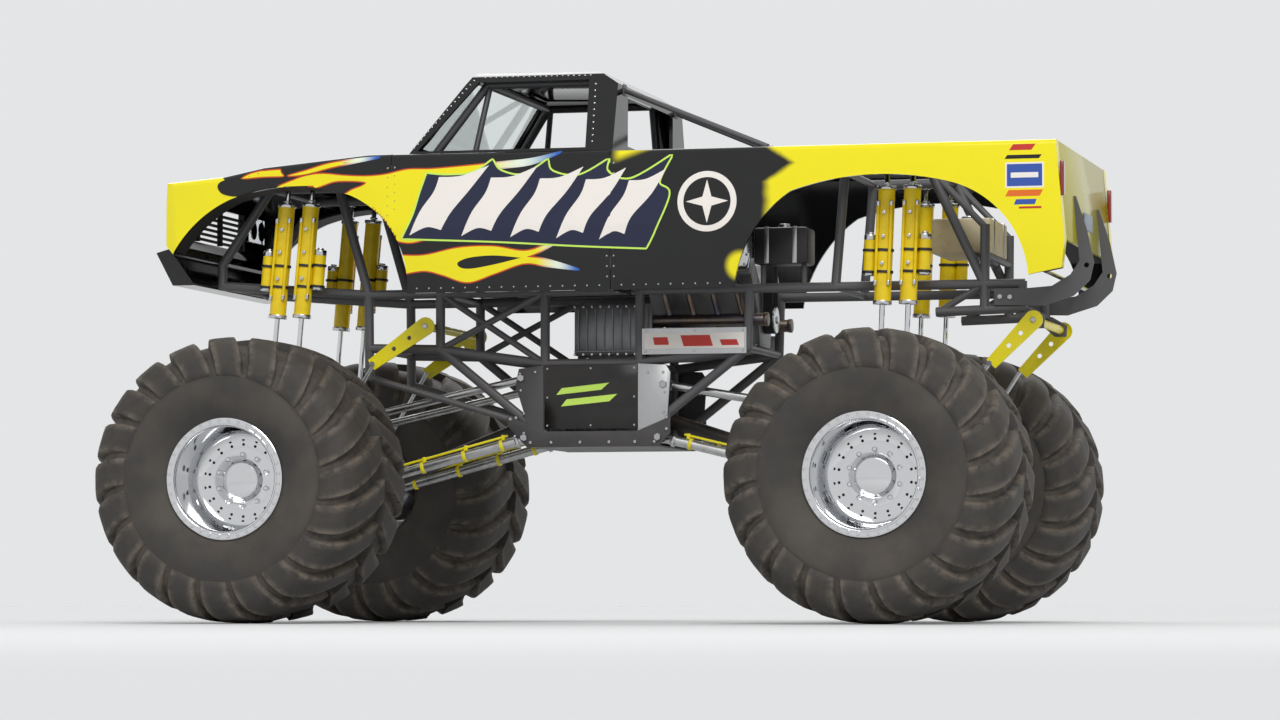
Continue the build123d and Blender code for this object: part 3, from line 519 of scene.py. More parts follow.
def noise(tree: Tree, coords: Socket, scale: float, detail: float, rough: float = 0.5) -> Value:
    """Uneven patches, so many a metre."""
    inputs = {"Vector": coords, "Scale": scale, "Detail": detail, "Roughness": rough}
    return Value(tree, add_node(tree, "TexNoise", inputs).outputs[0])


def mixed(tree: Tree, share: Value, one: Socket | str, other: Socket | str) -> Socket:
    """A colour between two, by a share of the second."""
    return add_node(tree, "Mix", {0: share, 6: one, 7: other}, data_type="RGBA").outputs[2]


DIRT = "#6E5E4B"
DIRT_ROUGHNESS = 0.9


@dataclass(frozen=True)
class Finish:
    """One real surface: its material, how it was made and how it wears.

    Attributes:
        name: What the material is.
        colour: Its own colour.
        roughness: From polished at 0 to chalky at 1.
        metallic: 1 for bare metal.
        ior: Of anything but metal.
        coat: Strength of the clear coat.
        second: The colour of worn or uneven patches.
        patches: How far the patches show.
        patch_mm: Their size.
        grain_mm: Distance between the bumps of its surface, and their height.
        stretch: How the grain is drawn out along X, Y and Z.
        dust: How much dry dirt lies on it, from 0 to 1.
    """

    name: str
    colour: str
    roughness: float = 0.5
    metallic: float = 0.0
    ior: float = 1.5
    coat: float = 0.0
    second: str = ""
    patches: float = 0.0
    patch_mm: float = 80.0
    grain_mm: Spot = (0.0, 0.0)
    stretch: Point = (1.0, 1.0, 1.0)
    dust: float = 0.0

    def base(self, tree: Tree, coords: Socket) -> Socket | str:
        """The colour before any dust: plain, or with uneven patches.

        Args:
            tree: The material's tree.
            coords: The piece's own coordinates.

        Returns:
            The colour.
        """
        if not self.patches:
            return self.colour
        share = noise(tree, coords, 1000 / self.patch_mm, 5.0).eased(0.42, 0.68, self.patches)
        return mixed(tree, share, self.colour, self.second)

    def dirt(self, tree: Tree, coords: Socket) -> Value:
        """Dust: more low down and on faces that look up, in drifts about 120 mm wide.

        Args:
            tree: The material's tree.
            coords: The piece's own coordinates.

        Returns:
            Its share, from 0 to 1.
        """
        height = parts_of(tree, coords)[2]
        facing_up = parts_of(tree, add_node(tree, "NewGeometry").outputs["Normal"])[2]
        drift = noise(tree, coords, 8.0, 8.0, 0.65).eased(0.30, 0.72)
        low, level = 1 - height.eased(0.7, 2.5, 0.75), facing_up.eased(-0.2, 0.9, 0.7) + 0.3
        return low * level * drift * self.dust

    def dress(self, tree: Tree, shader: bpy.types.Node) -> None:
        """Links the finish's patterns to the shader.

        Args:
            tree: The material's tree.
            shader: Its shader.
        """
        coords = add_node(tree, "TexCoord").outputs["Object"]
        colour = self.base(tree, coords)
        if self.dust:
            dirt = self.dirt(tree, coords)
            colour = mixed(tree, dirt, colour, DIRT)
            rough = dirt * (DIRT_ROUGHNESS - self.roughness) + self.roughness
            feed(tree, shader, {"Roughness": rough})
        feed(tree, shader, {"Base Color": colour})
        apart, height = self.grain_mm
        if apart:
            place = add_node(tree, "Mapping", {"Vector": coords, "Scale": self.stretch}).outputs[0]
            bumps = {"Height": noise(tree, place, 1000 / apart, 3.0), "Distance": height / 1000}
            feed(tree, shader, {"Normal": add_node(tree, "Bump", bumps).outputs[0]})

    def material(self) -> bpy.types.Material:
        """The material, made once and used again.

        Returns:
            The material with all its nodes.
        """
        found = bpy.data.materials.get(self.name)
        if found:
            return found
        made = bpy.data.materials.new(self.name)
        made.use_nodes = True
        tree = made.node_tree
        shader = tree.nodes["Principled BSDF"]
        feed(tree, shader, {"Metallic": self.metallic, "Roughness": self.roughness})
        feed(tree, shader, {"IOR": self.ior})
        if self.coat:
            feed(tree, shader, {"Coat Weight": self.coat, "Coat Roughness": 0.04})
        self.dress(tree, shader)
        return made


@dataclass(frozen=True)
class TyreRubber(Finish):
    """Cured rubber: paler on the worn edges of lugs, dirty in grooves, smooth on the sidewalls."""

    groove: str = "#47413A"
    scuff: str = "#6E655A"
    walls: tuple[str, str] = ("#32302E", "#45413C")

    def base(self, tree: Tree, coords: Socket) -> Socket:
        """Mixes groove dirt and scuffed lug edges by the tread's own height.

        Args:
            tree: The material's tree.
            coords: The piece's own coordinates.

        Returns:
            The colour.
        """
        tread = add_node(tree, "Attribute", attribute_name="tread").outputs["Vector"]
        height, edge, wall = parts_of(tree, tread)
        fine, broad = noise(tree, coords, 11.0, 8.0, 0.7), noise(tree, coords, 2.2, 4.0)
        caked = (1 - height) * fine.eased(0.30, 0.7, 0.5)
        scuffed = edge * fine.eased(0.35, 0.62, 0.75)
        lugs = mixed(tree, scuffed, mixed(tree, caked, self.colour, self.groove), self.scuff)
        return mixed(tree, wall, lugs, mixed(tree, broad.eased(0.4, 0.65), *self.walls))


@dataclass(frozen=True)
class FlamePaint(Finish):
    """Airbrushed candy colour: full at a flame's root, then white, and blue at its tip."""

    tip: str = "#2F7FC4"
    pale: str = "#E8F2E0"

    def base(self, tree: Tree, coords: Socket) -> Socket:
        """Mixes the root's colour to white and to the tip's by the paint's own warmth.

        Args:
            tree: The material's tree.
            coords: Not needed here.

        Returns:
            The colour.
        """
        warmth = Value(tree, add_node(tree, "Attribute", attribute_name="warmth").outputs["Fac"])
        root = mixed(tree, warmth.eased(0.35, 0.8), self.pale, self.colour)
        return mixed(tree, warmth.eased(0.02, 0.4), self.tip, root)


@dataclass(frozen=True)
class BodyPaint(Finish):
    """Two-stage car paint on glass fibre: black, with nose and tail airbrushed yellow.

    Attributes:
        nose: From where to where the nose turns yellow, in metres along X, at its height.
        nose_lean: How far that edge leans forward for each metre up, and its height.
        tail: The same for the tail.
        wedge: The height of the tail's point, its reach forward, and its slope.
        spot: The X and Z of the yellow spot behind the door, its clear and its faded radius.
        belt: From where to where the belt behind the window is yellow at its front and its back.
    """

    nose: Spot = (2.235, 2.247)
    nose_lean: Spot = (0.8, 2.690)
    tail: Spot = (-1.165, -1.095)
    wedge: Point = (2.685, 0.16, 1.5)
    spot: tuple[float, float, float, float] = (-0.985, 2.09, 0.055, 0.105)
    belt: tuple[Spot, Spot] = ((-0.27, -0.20), (-0.56, -0.46))

    def base(self, tree: Tree, coords: Socket) -> Socket:
        """Lays yellow over black by place, and keeps the inner faces black.

        Args:
            tree: The material's tree.
            coords: The piece's own coordinates.

        Returns:
            The colour.
        """
        x, y, z = parts_of(tree, coords)
        along = x - ORIGIN_X
        out_x, out_y, out_z = parts_of(tree, add_node(tree, "NewGeometry").outputs["True Normal"])
        inward = (out_y * y.reckoned("SIGN") * -1).most(out_x * x.reckoned("SIGN") * -1, out_z * -1)
        nose = (along - (z - self.nose_lean[1]) * self.nose_lean[0]).eased(*self.nose)
        height, reach, slope = self.wedge
        wedge = (reach - abs(z - height) * slope).most(0.0)
        mist = noise(tree, coords, 14.0, 3.0) * 0.03
        tail = 1 - (along + wedge + mist).eased(*self.tail)
        spot_x, spot_z, clear, faded = self.spot
        off_x, off_z = along - spot_x, z - spot_z
        spot = 1 - (off_x * off_x + off_z * off_z).reckoned("SQRT").eased(clear, faded)
        front, back = self.belt
        belt = (x * 0.35 + z).eased(2.66, 2.72) * along.eased(*back) * (1 - along.eased(*front))
        yellow = nose.most(tail, spot, belt) * (1 - inward.eased(0.3, 0.4))
        return mixed(tree, yellow, self.colour, self.second)


@dataclass(frozen=True)
class ClearSheet(Finish):
    """Clear polycarbonate or glass: seen by its gloss and a faint tint."""

    def dress(self, tree: Tree, shader: bpy.types.Node) -> None:
        """Lets the light through."""
        feed(tree, shader, {"Base Color": self.colour, "Transmission Weight": 1.0})


YELLOW, BLACK, RUST_BLACK = "#F2E405", "#0B0C0D", "#37312B"
ORANGE_PEEL = (9, 0.012)  # sprayed gloss: a slight ripple in its reflections
PEBBLE = (3, 0.05)  # powder coat: satin, with a fine pebble

# Tractor tyre rubber with a little hysteresis shine left on its sidewalls
RUBBER = TyreRubber("tyre rubber", "#2F2D2B", 0.74, ior=1.52, grain_mm=(5, 0.25), dust=0.25)
# Mirror-polished spun aluminium: nearly clean reflections, faint turning marks
POLISHED = Finish("polished aluminium", "#DADBDD", 0.07, 1.0, grain_mm=(2.5, 0.006), dust=0.08)
FRAME_COAT = Finish("grey powder coat", "#545457", 0.42, grain_mm=PEBBLE, dust=0.55)
GLOSS_BLACK = Finish("gloss black enamel", "#0B0B0C", 0.12, dust=0.25)
SATIN_BLACK = Finish("satin black enamel", "#1A1A1B", 0.4, grain_mm=(4, 0.04), dust=0.4)
# Sheared aluminium plate, brushed along the truck
BRUSHED = Finish(
    "brushed aluminium", "#B9BABB", 0.32, 1.0, grain_mm=(2, 0.03), stretch=(0.06, 1.0, 1.0),
    dust=0.35,
)
ROD_STEEL = Finish("ground steel", "#B4B4B6", 0.18, 1.0, dust=0.25)
# Thick-walled tube, zinc plated: bright with a soft bloom
ZINC = Finish(
    "zinc-plated steel", "#C4C5C6", 0.24, 1.0, second="#8F8E8B", patches=0.5, grain_mm=(4, 0.02),
    dust=0.45,
)
SHOCK_YELLOW = Finish(
    "yellow powder coat", "#F2D20C", 0.3, second="#DDB70C", patches=0.4, patch_mm=60,
    grain_mm=(3, 0.03), dust=0.2,
)
ARM_YELLOW = Finish("bright yellow enamel", "#F0E008", 0.26, grain_mm=(6, 0.03), dust=0.35)
# Sand-cast alloy: the mould's own coarse skin
CAST = Finish(
    "cast aluminium", "#8A8B8D", 0.45, 1.0, second="#6C6C6E", patches=0.4, patch_mm=140,
    grain_mm=(2.5, 0.15), dust=0.3,
)
MACHINED = Finish(
    "machined aluminium", "#C9CACC", 0.2, 1.0, grain_mm=(1.6, 0.02), stretch=(0.1, 1.0, 1.0),
    dust=0.15,
)
# Bare mild-steel pipe, blued and browned by heat
HEADER_STEEL = Finish(
    "heat-tinted steel", "#6F6257", 0.38, 1.0, second="#4B4F62", patches=0.8, patch_mm=120, dust=0.2
)
BELT_RUBBER = Finish("toothed belt rubber", "#1B1B1C", 0.7, grain_mm=(4, 0.3))
WHITE_PAINT = Finish("white sign paint", "#EFE9E2", 0.2, dust=0.15)
NAVY_PAINT = Finish("navy sign paint", "#151C3A", 0.12, dust=0.1)
LIME_PAINT = Finish("lime keyline paint", "#C9EE62", 0.2)
INK_PAINT = Finish("black sign paint", BLACK, 0.1, dust=0.1)
RED_VINYL = Finish("red vinyl", "#C22A1E", 0.35)
ORANGE_VINYL = Finish("orange vinyl", "#E06A1B", 0.35)
BLUE_VINYL = Finish("blue vinyl", "#2D50A4", 0.35)
FLAME_YELLOW = FlamePaint("flame yellow", YELLOW, 0.12, grain_mm=ORANGE_PEEL, dust=0.12)
FLAME_RED = FlamePaint("flame pinstripe", "#C8481A", 0.15, tip="#2457B8")
# Woven nylon: dull, with a weave 2.2 mm apart
SEAT_CLOTH = Finish(
    "dark red nylon cloth", "#5A1013", 0.8, second="#430B0E", patches=0.6, grain_mm=(2.2, 0.35)
)
WEBBING = Finish("black nylon webbing", "#1A1A1C", 0.7, grain_mm=(2, 0.3))
RED_LENS = Finish("red lens", "#7E0E0C", 0.12, coat=1.0)
PLATE_BLUE = Finish("blue-grey plate", "#7F8B9A", 0.35, dust=0.3)
REFLECTOR = Finish("vacuum-metallised reflector", "#DDE0E4", 0.06, 1.0)
# Painted shade: near-black for the plugs that stand in for the shaded insides of the wheels'
# drilled holes
HOLE_SHADE = Finish("shadowed bore", "#0A0A0A", 0.8)


class SlotFinish(Enum):
    """The finish of each of the part's material slots."""

    tyre_rubber = RUBBER
    wheel_alloy = POLISHED
    knuckle_steel = Finish(
        "black knuckle enamel", "#232222", 0.4, second="#3A342E", patches=0.5, grain_mm=(5, 0.1),
        dust=0.7,
    )
    axle_paint = Finish(
        "black axle enamel", "#1D1C1B", 0.45, second=RUST_BLACK, patches=0.7, grain_mm=(6, 0.15),
        dust=0.85,
    )
    barrel_black = GLOSS_BLACK
    rod_steel = ROD_STEEL
    frame_grey = FRAME_COAT
    plate_black = Finish("dark grey powder coat", "#3E3E41", 0.45, grain_mm=PEBBLE, dust=0.5)
    plate_silver = BRUSHED
    hoop_yellow = ARM_YELLOW
    shock_yellow = SHOCK_YELLOW
    chrome = Finish("hard chrome", "#D9DADC", 0.05, 1.0)
    link_steel = ZINC
    engine_cast = CAST
    engine_bright = MACHINED
    shaft_steel = SATIN_BLACK
    body_paint = BodyPaint(
        "body paint", BLACK, 0.09, second=YELLOW, grain_mm=ORANGE_PEEL, dust=0.12
    )
    # Painted shade: the tailgate's yellow is darkened to olive for its dimly lit face
    gate_paint = Finish("shade-darkened yellow gloss", "#B3AB14", 0.15, grain_mm=ORANGE_PEEL, dust=0.35)
    bumper_black = Finish("gloss black bumper", "#0C0C0D", 0.12, grain_mm=(7, 0.01), dust=0.25)
    trim_black = Finish("matt black polypropylene", "#191919", 0.7, grain_mm=(2, 0.08), dust=0.45)
    glass = ClearSheet("clear polycarbonate", "#E9F1F0", 0.02, ior=1.58)
    lamp_glass = ClearSheet("clear lamp lens", "#F2F6FA", 0.02, ior=1.49)
    cage_black = Finish("charcoal powder coat", "#37383A", 0.4, grain_mm=(3, 0.04), dust=0.2)
    seat_red = SEAT_CLOTH
    tank_cream = Finish(
        "rotomoulded polyethylene", "#CFC2A0", 0.5, ior=1.51, second="#B9AA86", patches=0.6,
        grain_mm=(4, 0.08), dust=0.3,
    )
    tank_black = Finish(
        "black polyethylene", "#161617", 0.45, ior=1.51, grain_mm=(4, 0.08), dust=0.3
    )


def finished(
    piece: Piece, name: str, finish: Finish, body: str = "truck", angle: float = 35.0
) -> Piece:
    """Names, paints and smooths a piece, and lets it ride on its body.

    Args:
        piece: The modelled piece.
        name: Its name.
        finish: Its surface.
        body: The body it moves with.
        angle: Edges sharper than this many degrees stay sharp.

    Returns:
        The piece.
    """
    piece.name = name
    piece.data.materials.clear()
    piece.data.materials.append(finish.material())
    pick(piece)
    bpy.ops.object.shade_smooth_by_angle(angle=math.radians(angle))
    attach(piece, body)
    log.info("%s: %d faces on %s", name, len(piece.data.polygons), body)
    return piece


def fit(name: str, pieces: Iterable[Piece], finish: Finish, both: bool = True) -> Piece:
    """Joins pieces into one that rides on the truck.

    Args:
        name: The new piece's name.
        pieces: What goes into it.
        finish: Its surface.
        both: Whether their mirror images go into it too.

    Returns:
        The piece.
    """
    return finished(joined(name, mirrored(pieces) if both else pieces), name, finish)


# The part's own solids


@dataclass
class BareSolids:
    """The solids that show as they are: their surfaces, and the rounding of their edges."""

    weld: float = 1e-5
    sharp: float = 32.0
    rounded: float = 40.0
    widths: tuple[tuple[float, str], ...] = (
        (0.0015, "side_plates centre_panels engine_guards"), (0.002, "floor_pan"),
        (0.003, "tailgate"), (0.006, "cylinder_heads blower dash_panel"),
        (0.008, "engine_block"), (0.010, "valve_covers"),
        (0.012, "gearbox transfer_case intake_hat"), (0.018, "oil_tank"), (0.020, "fuel_cell"),
    )
    own: dict[str, Finish] = field(default_factory=lambda: {
        "centre_panels": GLOSS_BLACK, "rear_hoops": FRAME_COAT, "link_bars": ZINC,
    })

    def build(self) -> None:
        """Paints each solid from its slot and smooths its curved faces."""
        slots = {part["node"]: part["material_slot"] for part in frame["record"]["subparts"]}
        widths = {name: width for width, names in self.widths for name in names.split()}
        for name, node in frame["nodes"].items():
            finish = self.own.get(name, SlotFinish[slots[name]].value)
            self.dress(node, finish, widths.get(name, 0.0))

    def dress(self, node: Piece, finish: Finish, width: float) -> None:
        """Paints one solid.

        Args:
            node: The solid's object.
            finish: Its surface.
            width: Radius of its rounded edges in metres, or 0.
        """
        node.data.materials.clear()
        node.data.materials.append(finish.material())
        node.data.polygons.foreach_set("use_smooth", [True] * len(node.data.polygons))
        node.modifiers.new("weld", "WELD").merge_threshold = self.weld
        if width:
            bevel = node.modifiers.new("rounded", "BEVEL")
            bevel.width, bevel.segments, bevel.limit_method = width, 2, "ANGLE"
            bevel.angle_limit = math.radians(self.rounded)
        node.modifiers.new("edges", "EDGE_SPLIT").split_angle = math.radians(self.sharp)


# Wheels


@dataclass
class Corner:
    """One wheel's place: its name, its axle's X and its side."""

    name: str
    axle_x: float
    side: int

    def place(self) -> Matrix:
        """The move from a left wheel at the origin to this corner."""
        move = Matrix.Translation(at(self.axle_x, 1365 * self.side, AXLE_Z))
        return move if self.side > 0 else move @ FLIP


CORNERS = tuple(
    Corner(f"{end}_{side}", axle_x, sense)
    for end, axle_x in (("front", AXLE_X), ("rear", -AXLE_X))
    for side, sense in (("left", 1), ("right", -1))
)


@dataclass
class Tyres:
    """Four flotation tyres with chevron lugs that run over the shoulder.

    Each row of the tread gives the distance from the middle, the radius under the lugs, the way a
    lug stands there as Y and outward parts, its height, its lag and its width in pitches.
    """

    lugs: int = 20
    rows: Rows = (
        (22, 790, 0, 1, 0, 0.00, 0.50), (33, 790, 0, 1, 48, 0.00, 0.50),
        (115, 790, 0, 1, 48, 0.15, 0.53), (200, 789, 0, 1, 48, 0.27, 0.56),
        (275, 787, 0.02, 1, 48, 0.36, 0.59), (346, 784, 0.06, 1, 48, 0.44, 0.62),
        (405, 774, 0.16, 0.98, 47, 0.52, 0.65), (450, 760, 0.30, 0.95, 45, 0.60, 0.68),
        (482, 738, 0.50, 0.86, 42, 0.67, 0.71), (503, 708, 0.72, 0.69, 36, 0.74, 0.73),
        (516, 672, 0.90, 0.43, 28, 0.80, 0.75), (524, 636, 0.99, 0.10, 20, 0.84, 0.76),
        (530, 610, 1, 0, 13, 0.86, 0.76), (533, 597, 1, 0, 0, 0.87, 0.76),
    )
    wall: tuple[Spot, ...] = (
        (536, 575), (537, 548), (535, 515), (529, 480), (519, 446), (505, 414), (488, 385),
        (474, 362), (466, 345), (462, 330), (458, 318.4), (424, 318.4), (410, 380), (380, 430),
    )
    # Steps through one pitch: share of the lug's width, pitches beyond it, height and edge
    steps: tuple[tuple[float, float, float, float], ...] = (
        (0, -0.050, 0.00, 0.3), (0, -0.012, 0.80, 1.0), (0, 0.015, 1.00, 1.0), (0.25, 0, 1.00, 0.1),
        (0.75, 0, 1.00, 0.1), (1, -0.015, 1.00, 1.0), (1, 0.012, 0.80, 1.0), (1, 0.050, 0.00, 0.3),
    )

    def spot(self, pitches: float, y: float, radius: float) -> Vector:
        """A place so many lug pitches round from the ground, in metres from millimetres."""
        angle = -math.pi / 2 + 2 * math.pi * pitches / self.lugs
        return Vector((radius * math.cos(angle), y, radius * math.sin(angle))) / 1000

    def half(self, side: int) -> tuple[list[list[Vector]], list[list[Point]]]:
        """Rings of corners from the tread's middle to the bead's inside, with their tread values.

        Args:
            side: 1 for the outer half, -1 for the inner, whose lugs stand half a pitch on.

        Returns:
            The rings' corners, and for each corner its height, edge and sidewall value.
        """
        rings: list[list[Vector]] = []
        values: list[list[Point]] = []
        shift, count = (0.5 if side < 0 else 0.0), len(self.steps)
        for y, radius, way_y, way_out, height, lag, width in self.rows:
            ring, value = [], []
            for lug in range(self.lugs):
                for share, beyond, rise, edge in self.steps:
                    pitches, up = lug + shift + lag + share * width + beyond, height * rise
                    ring.append(self.spot(pitches, side * (y + way_y * up), radius + way_out * up))
                    value.append((rise, edge, 0.0) if height else (0.0, 0.0, 0.0))
            rings.append(ring)
            values.append(value)
        middle = shift + lag + width / 2 - (count - 1) / 2 / count
        for y, radius in self.wall:
            turns = [middle + i / count for i in range(self.lugs * count)]
            rings.append([self.spot(turn, side * y, radius) for turn in turns])
            values.append([(0.0, 0.0, 1.0)] * len(turns))
        return rings, values

    def model(self) -> Piece:
        """One tyre about the origin.

        Returns:
            Its closed mesh with its tread values.
        """
        outer, outer_values = self.half(1)
        inner, inner_values = self.half(-1)
        rings, values = [*reversed(inner), *outer], [*reversed(inner_values), *outer_values]
        count, half_pitch = len(rings[0]), len(self.steps) // 2
        faces = []
        for i in range(len(rings)):
            following = (i + 1) % len(rings)
            turn = half_pitch if i == len(inner) - 1 else -half_pitch if following == 0 else 0
            for j in range(count):
                k, m = (j + turn) % count, (j + 1 + turn) % count
                here, there = i * count, following * count
                faces.append((here + j, here + (j + 1) % count, there + m, there + k))
        tyre = from_faces("tyre", [corner for ring in rings for corner in ring], faces)
        tread = tyre.data.attributes.new("tread", "FLOAT_VECTOR", "POINT")
        flat = [part for ring in values for value in ring for part in value]
        tread.data.foreach_set("vector", flat)
        return turned_out(tyre)

    def build(self) -> None:
        """Fits a tyre at each corner in place of its plain solid."""
        for corner, tyre in zip(CORNERS, copied(self.model(), [c.place() for c in CORNERS])):
            finished(tyre, f"Tyre_{corner.name}", RUBBER, f"wheel_{corner.name}", 38)
            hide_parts(f"tyre_{corner.name}")


@dataclass
class Rims:
    """Four polished wheels: beadlock ring, deep barrel, dished disc, hub and cap."""

    profile: tuple[Spot, ...] = (
        (199, 0), (199, 96), (196, 104), (188, 110), (160, 116), (146, 121), (142, 130), (141, 180),
        (141.5, 205), (144, 232), (150, 256), (160, 274), (176, 288), (200, 296), (250, 299),
        (330, 301), (440, 303), (470, 305), (481, 307), (488, 312), (491, 318), (491, 322),
        (486, 324), (486, 350), (483, 355), (477, 356), (472, 354), (472, 318), (458, 318),
        (424, 318), (-424, 318), (-456, 318), (-462, 314), (-462, 304), (115, 304), (115, 185),
        (-289, 185), (-289, 62.4), (80, 62.4), (80, 0),
    )
    steps: int = 96
    # Count, circle's radius and depth in millimetres, then the head's radius and height in metres
    screw_rings: Rows = ((36, 337, 486, 0.0085, 0.009), (10, 152, 141, 0.016, 0.026))
    hole_rings: Rows = ((18, 212, 141.8), (18, 240, 145.6))
    hole: tuple[float, ...] = (-0.004, 0.0012, 0.0085, 16)

    def ring(self, count: int, radius: float, y: float) -> list[tuple[Vector, Vector]]:
        """Places round the axle that point outwards.

        Args:
            count: How many.
            radius: Of their circle, in millimetres.
            y: Its distance outwards, in millimetres.

        Returns:
            Each place with its way.
        """
        angles = spaced(math.pi / count, 2 * math.pi / count, count)
        places = [Vector((radius * math.cos(a), y, radius * math.sin(a))) for a in angles]
        return [(place / 1000, OUT) for place in places]

    def model(self) -> Piece:
        """One wheel about the origin.

        Returns:
            The turned wheel with its beadlock bolts and lug nuts.
        """
        pieces = [lathe(self.profile, self.steps)]
        for *ring, radius, height in self.screw_rings:
            pieces += screws(self.ring(*ring), radius, height)
        return joined("rim", pieces)

    def vents(self) -> Piece:
        """The small drilled holes of the disc.

        Returns:
            Dark plugs flush with its face: painted shade standing in for the insides of the holes.
        """
        (plug,) = rods(Vector(), UP, (self.hole,))
        moves = [aimed(*spot) for row in self.hole_rings for spot in self.ring(*row)]
        return joined("vents", copied(plug, moves))

    def build(self) -> None:
        """Fits a wheel at each corner in place of its plain solid."""
        moves = [corner.place() for corner in CORNERS]
        for corner, rim in zip(CORNERS, copied(self.model(), moves)):
            finished(rim, f"Rim_{corner.name}", POLISHED, f"wheel_{corner.name}", 28)
            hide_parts(f"rim_{corner.name}")
        # The dark plugs are painted shade in place of the drilled holes
        for corner, vents in zip(CORNERS, copied(self.vents(), moves)):
            name, body = f"RimHoleShades_{corner.name}", f"wheel_{corner.name}"
            finished(vents, name, HOLE_SHADE, body)


# Paintwork


class BodySurface:
    """The painted skin, for laying paintwork on it."""

    asides = (0, -5, 5)  # steps along the truck past a seam, in millimetres
    far_y, side_reach = 1300, 0.56  # where rays start beside the truck, and how far they go
    far_z, top_reach = 2900, 0.32  # the same above the bonnet
    seam = 0.0015  # how much deeper than its neighbours a ray goes in a seam, in metres
    edge_y, edge_reach, least_y = 990, 0.022, 0.8  # the search for the skin's edge

    def __init__(self, names: Sequence[str]) -> None:
        """Gathers the skin's solids.

        Args:
            names: The nodes that carry paint.
        """
        corners: list[Vector] = []
        faces: list[tuple[int, ...]] = []
        for name in names:
            node = frame["nodes"][name]
            first = len(corners)
            corners += [node.matrix_world @ vertex.co for vertex in node.data.vertices]
            faces += [tuple(first + i for i in face.vertices) for face in node.data.polygons]
        self.tree = BVHTree.FromPolygons(corners, faces)

    def side(self, spot: Vector) -> tuple[Vector, Vector] | None:
        """The left skin at an X and Z: where a ray meets it, beside a seam, or at an edge near by.

        Args:
            spot: X and Z in millimetres.

        Returns:
            The skin's place and outward way, or None.
        """
        starts = [at(spot.x + aside, self.far_y, spot.y) for aside in self.asides]
        hits = [self.tree.ray_cast(start, -OUT, self.side_reach) for start in starts]
        hits = [hit for hit in hits if hit[0] is not None]
        if hits and max(hit[0].y for hit in hits) - hits[0][0].y < self.seam:
            place, way = hits[0][:2]
        elif hits:
            place, way = max(hits, key=lambda hit: hit[0].y)[:2]
            place.x = at(spot.x, 0, 0).x
        else:
            start = at(spot.x, self.edge_y, spot.y)
            place, way, *_ = self.tree.find_nearest(start, self.edge_reach)
            if place is None or place.y < self.least_y:
                return None
            way = OUT
        return place, way if way.y > 0 else -way

    def top(self, spot: Vector) -> tuple[Vector, Vector] | None:
        """The bonnet's skin at an X and Y.

        Args:
            spot: X and Y in millimetres.

        Returns:
            The skin's place and outward way, or None.
        """
        start = at(spot.x, spot.y, self.far_z)
        place, way, *_ = self.tree.ray_cast(start, -UP, self.top_reach)
        return None if place is None else (place, way if way.z > 0 else -way)


def smoothed(stroke: Sequence[Spot], step: float = 14.0) -> list[Vector]:
    """Draws a smooth line through points.

    Args:
        stroke: The points, in millimetres.
        step: About how far apart its corners come.

    Returns:
        The line's corners, without the last.
    """
    points = [Vector(point) for point in stroke]
    line = []
    for i in range(len(points) - 1):
        before, here = points[max(i - 1, 0)], points[i]
        there, after = points[i + 1], points[min(i + 2, len(points) - 1)]
        count = max(1, round((there - here).length / step))
        for k in range(count):
            t = k / count
            line.append(
                (2 * here + (there - before) * t
                 + (2 * before - 5 * here + 4 * there - after) * t**2
                 + (3 * here - before - 3 * there + after) * t**3) / 2
            )
    return line


def drawn(strokes: Iterable[Sequence[Spot]]) -> list[Vector]:
    """Joins smooth strokes into an outline with a corner where two meet.

    Args:
        strokes: Each goes on from the end of the one before.

    Returns:
        The outline's corners.
    """
    outline, start = [], []
    for stroke in strokes:
        outline += smoothed([*start, *stroke])
        start = [stroke[-1]]
    return outline


def pairs(outline: Sequence[Vector]) -> Iterable[tuple[Vector, Vector]]:
    """Both ends of each side of a closed outline."""
    return zip(outline, [*outline[1:], outline[0]])


def grown(outline: Sequence[Vector], width: float) -> list[Vector]:
    """Moves an outline outwards.

    Args:
        outline: Its corners.
        width: How far, in millimetres.

    Returns:
        The wider outline.
    """
    sense = 1 if sum(a.cross(b) for a, b in pairs(outline)) > 0 else -1
    wider = []
    for i, corner in enumerate(outline):
        run = outline[(i + 1) % len(outline)] - outline[i - 1]
        step = Vector((run.y, -run.x)).normalized() * width * sense
        wider.append(corner + step if run.length > 1e-6 else corner.copy())
    return wider


class View(Enum):
    """The way a painted shape is laid on the skin."""

    SIDE = "side"
    TOP = "top"


PLAIN = (0.0, -1.0)  # the X of full colour and of the tip where a shape has one colour


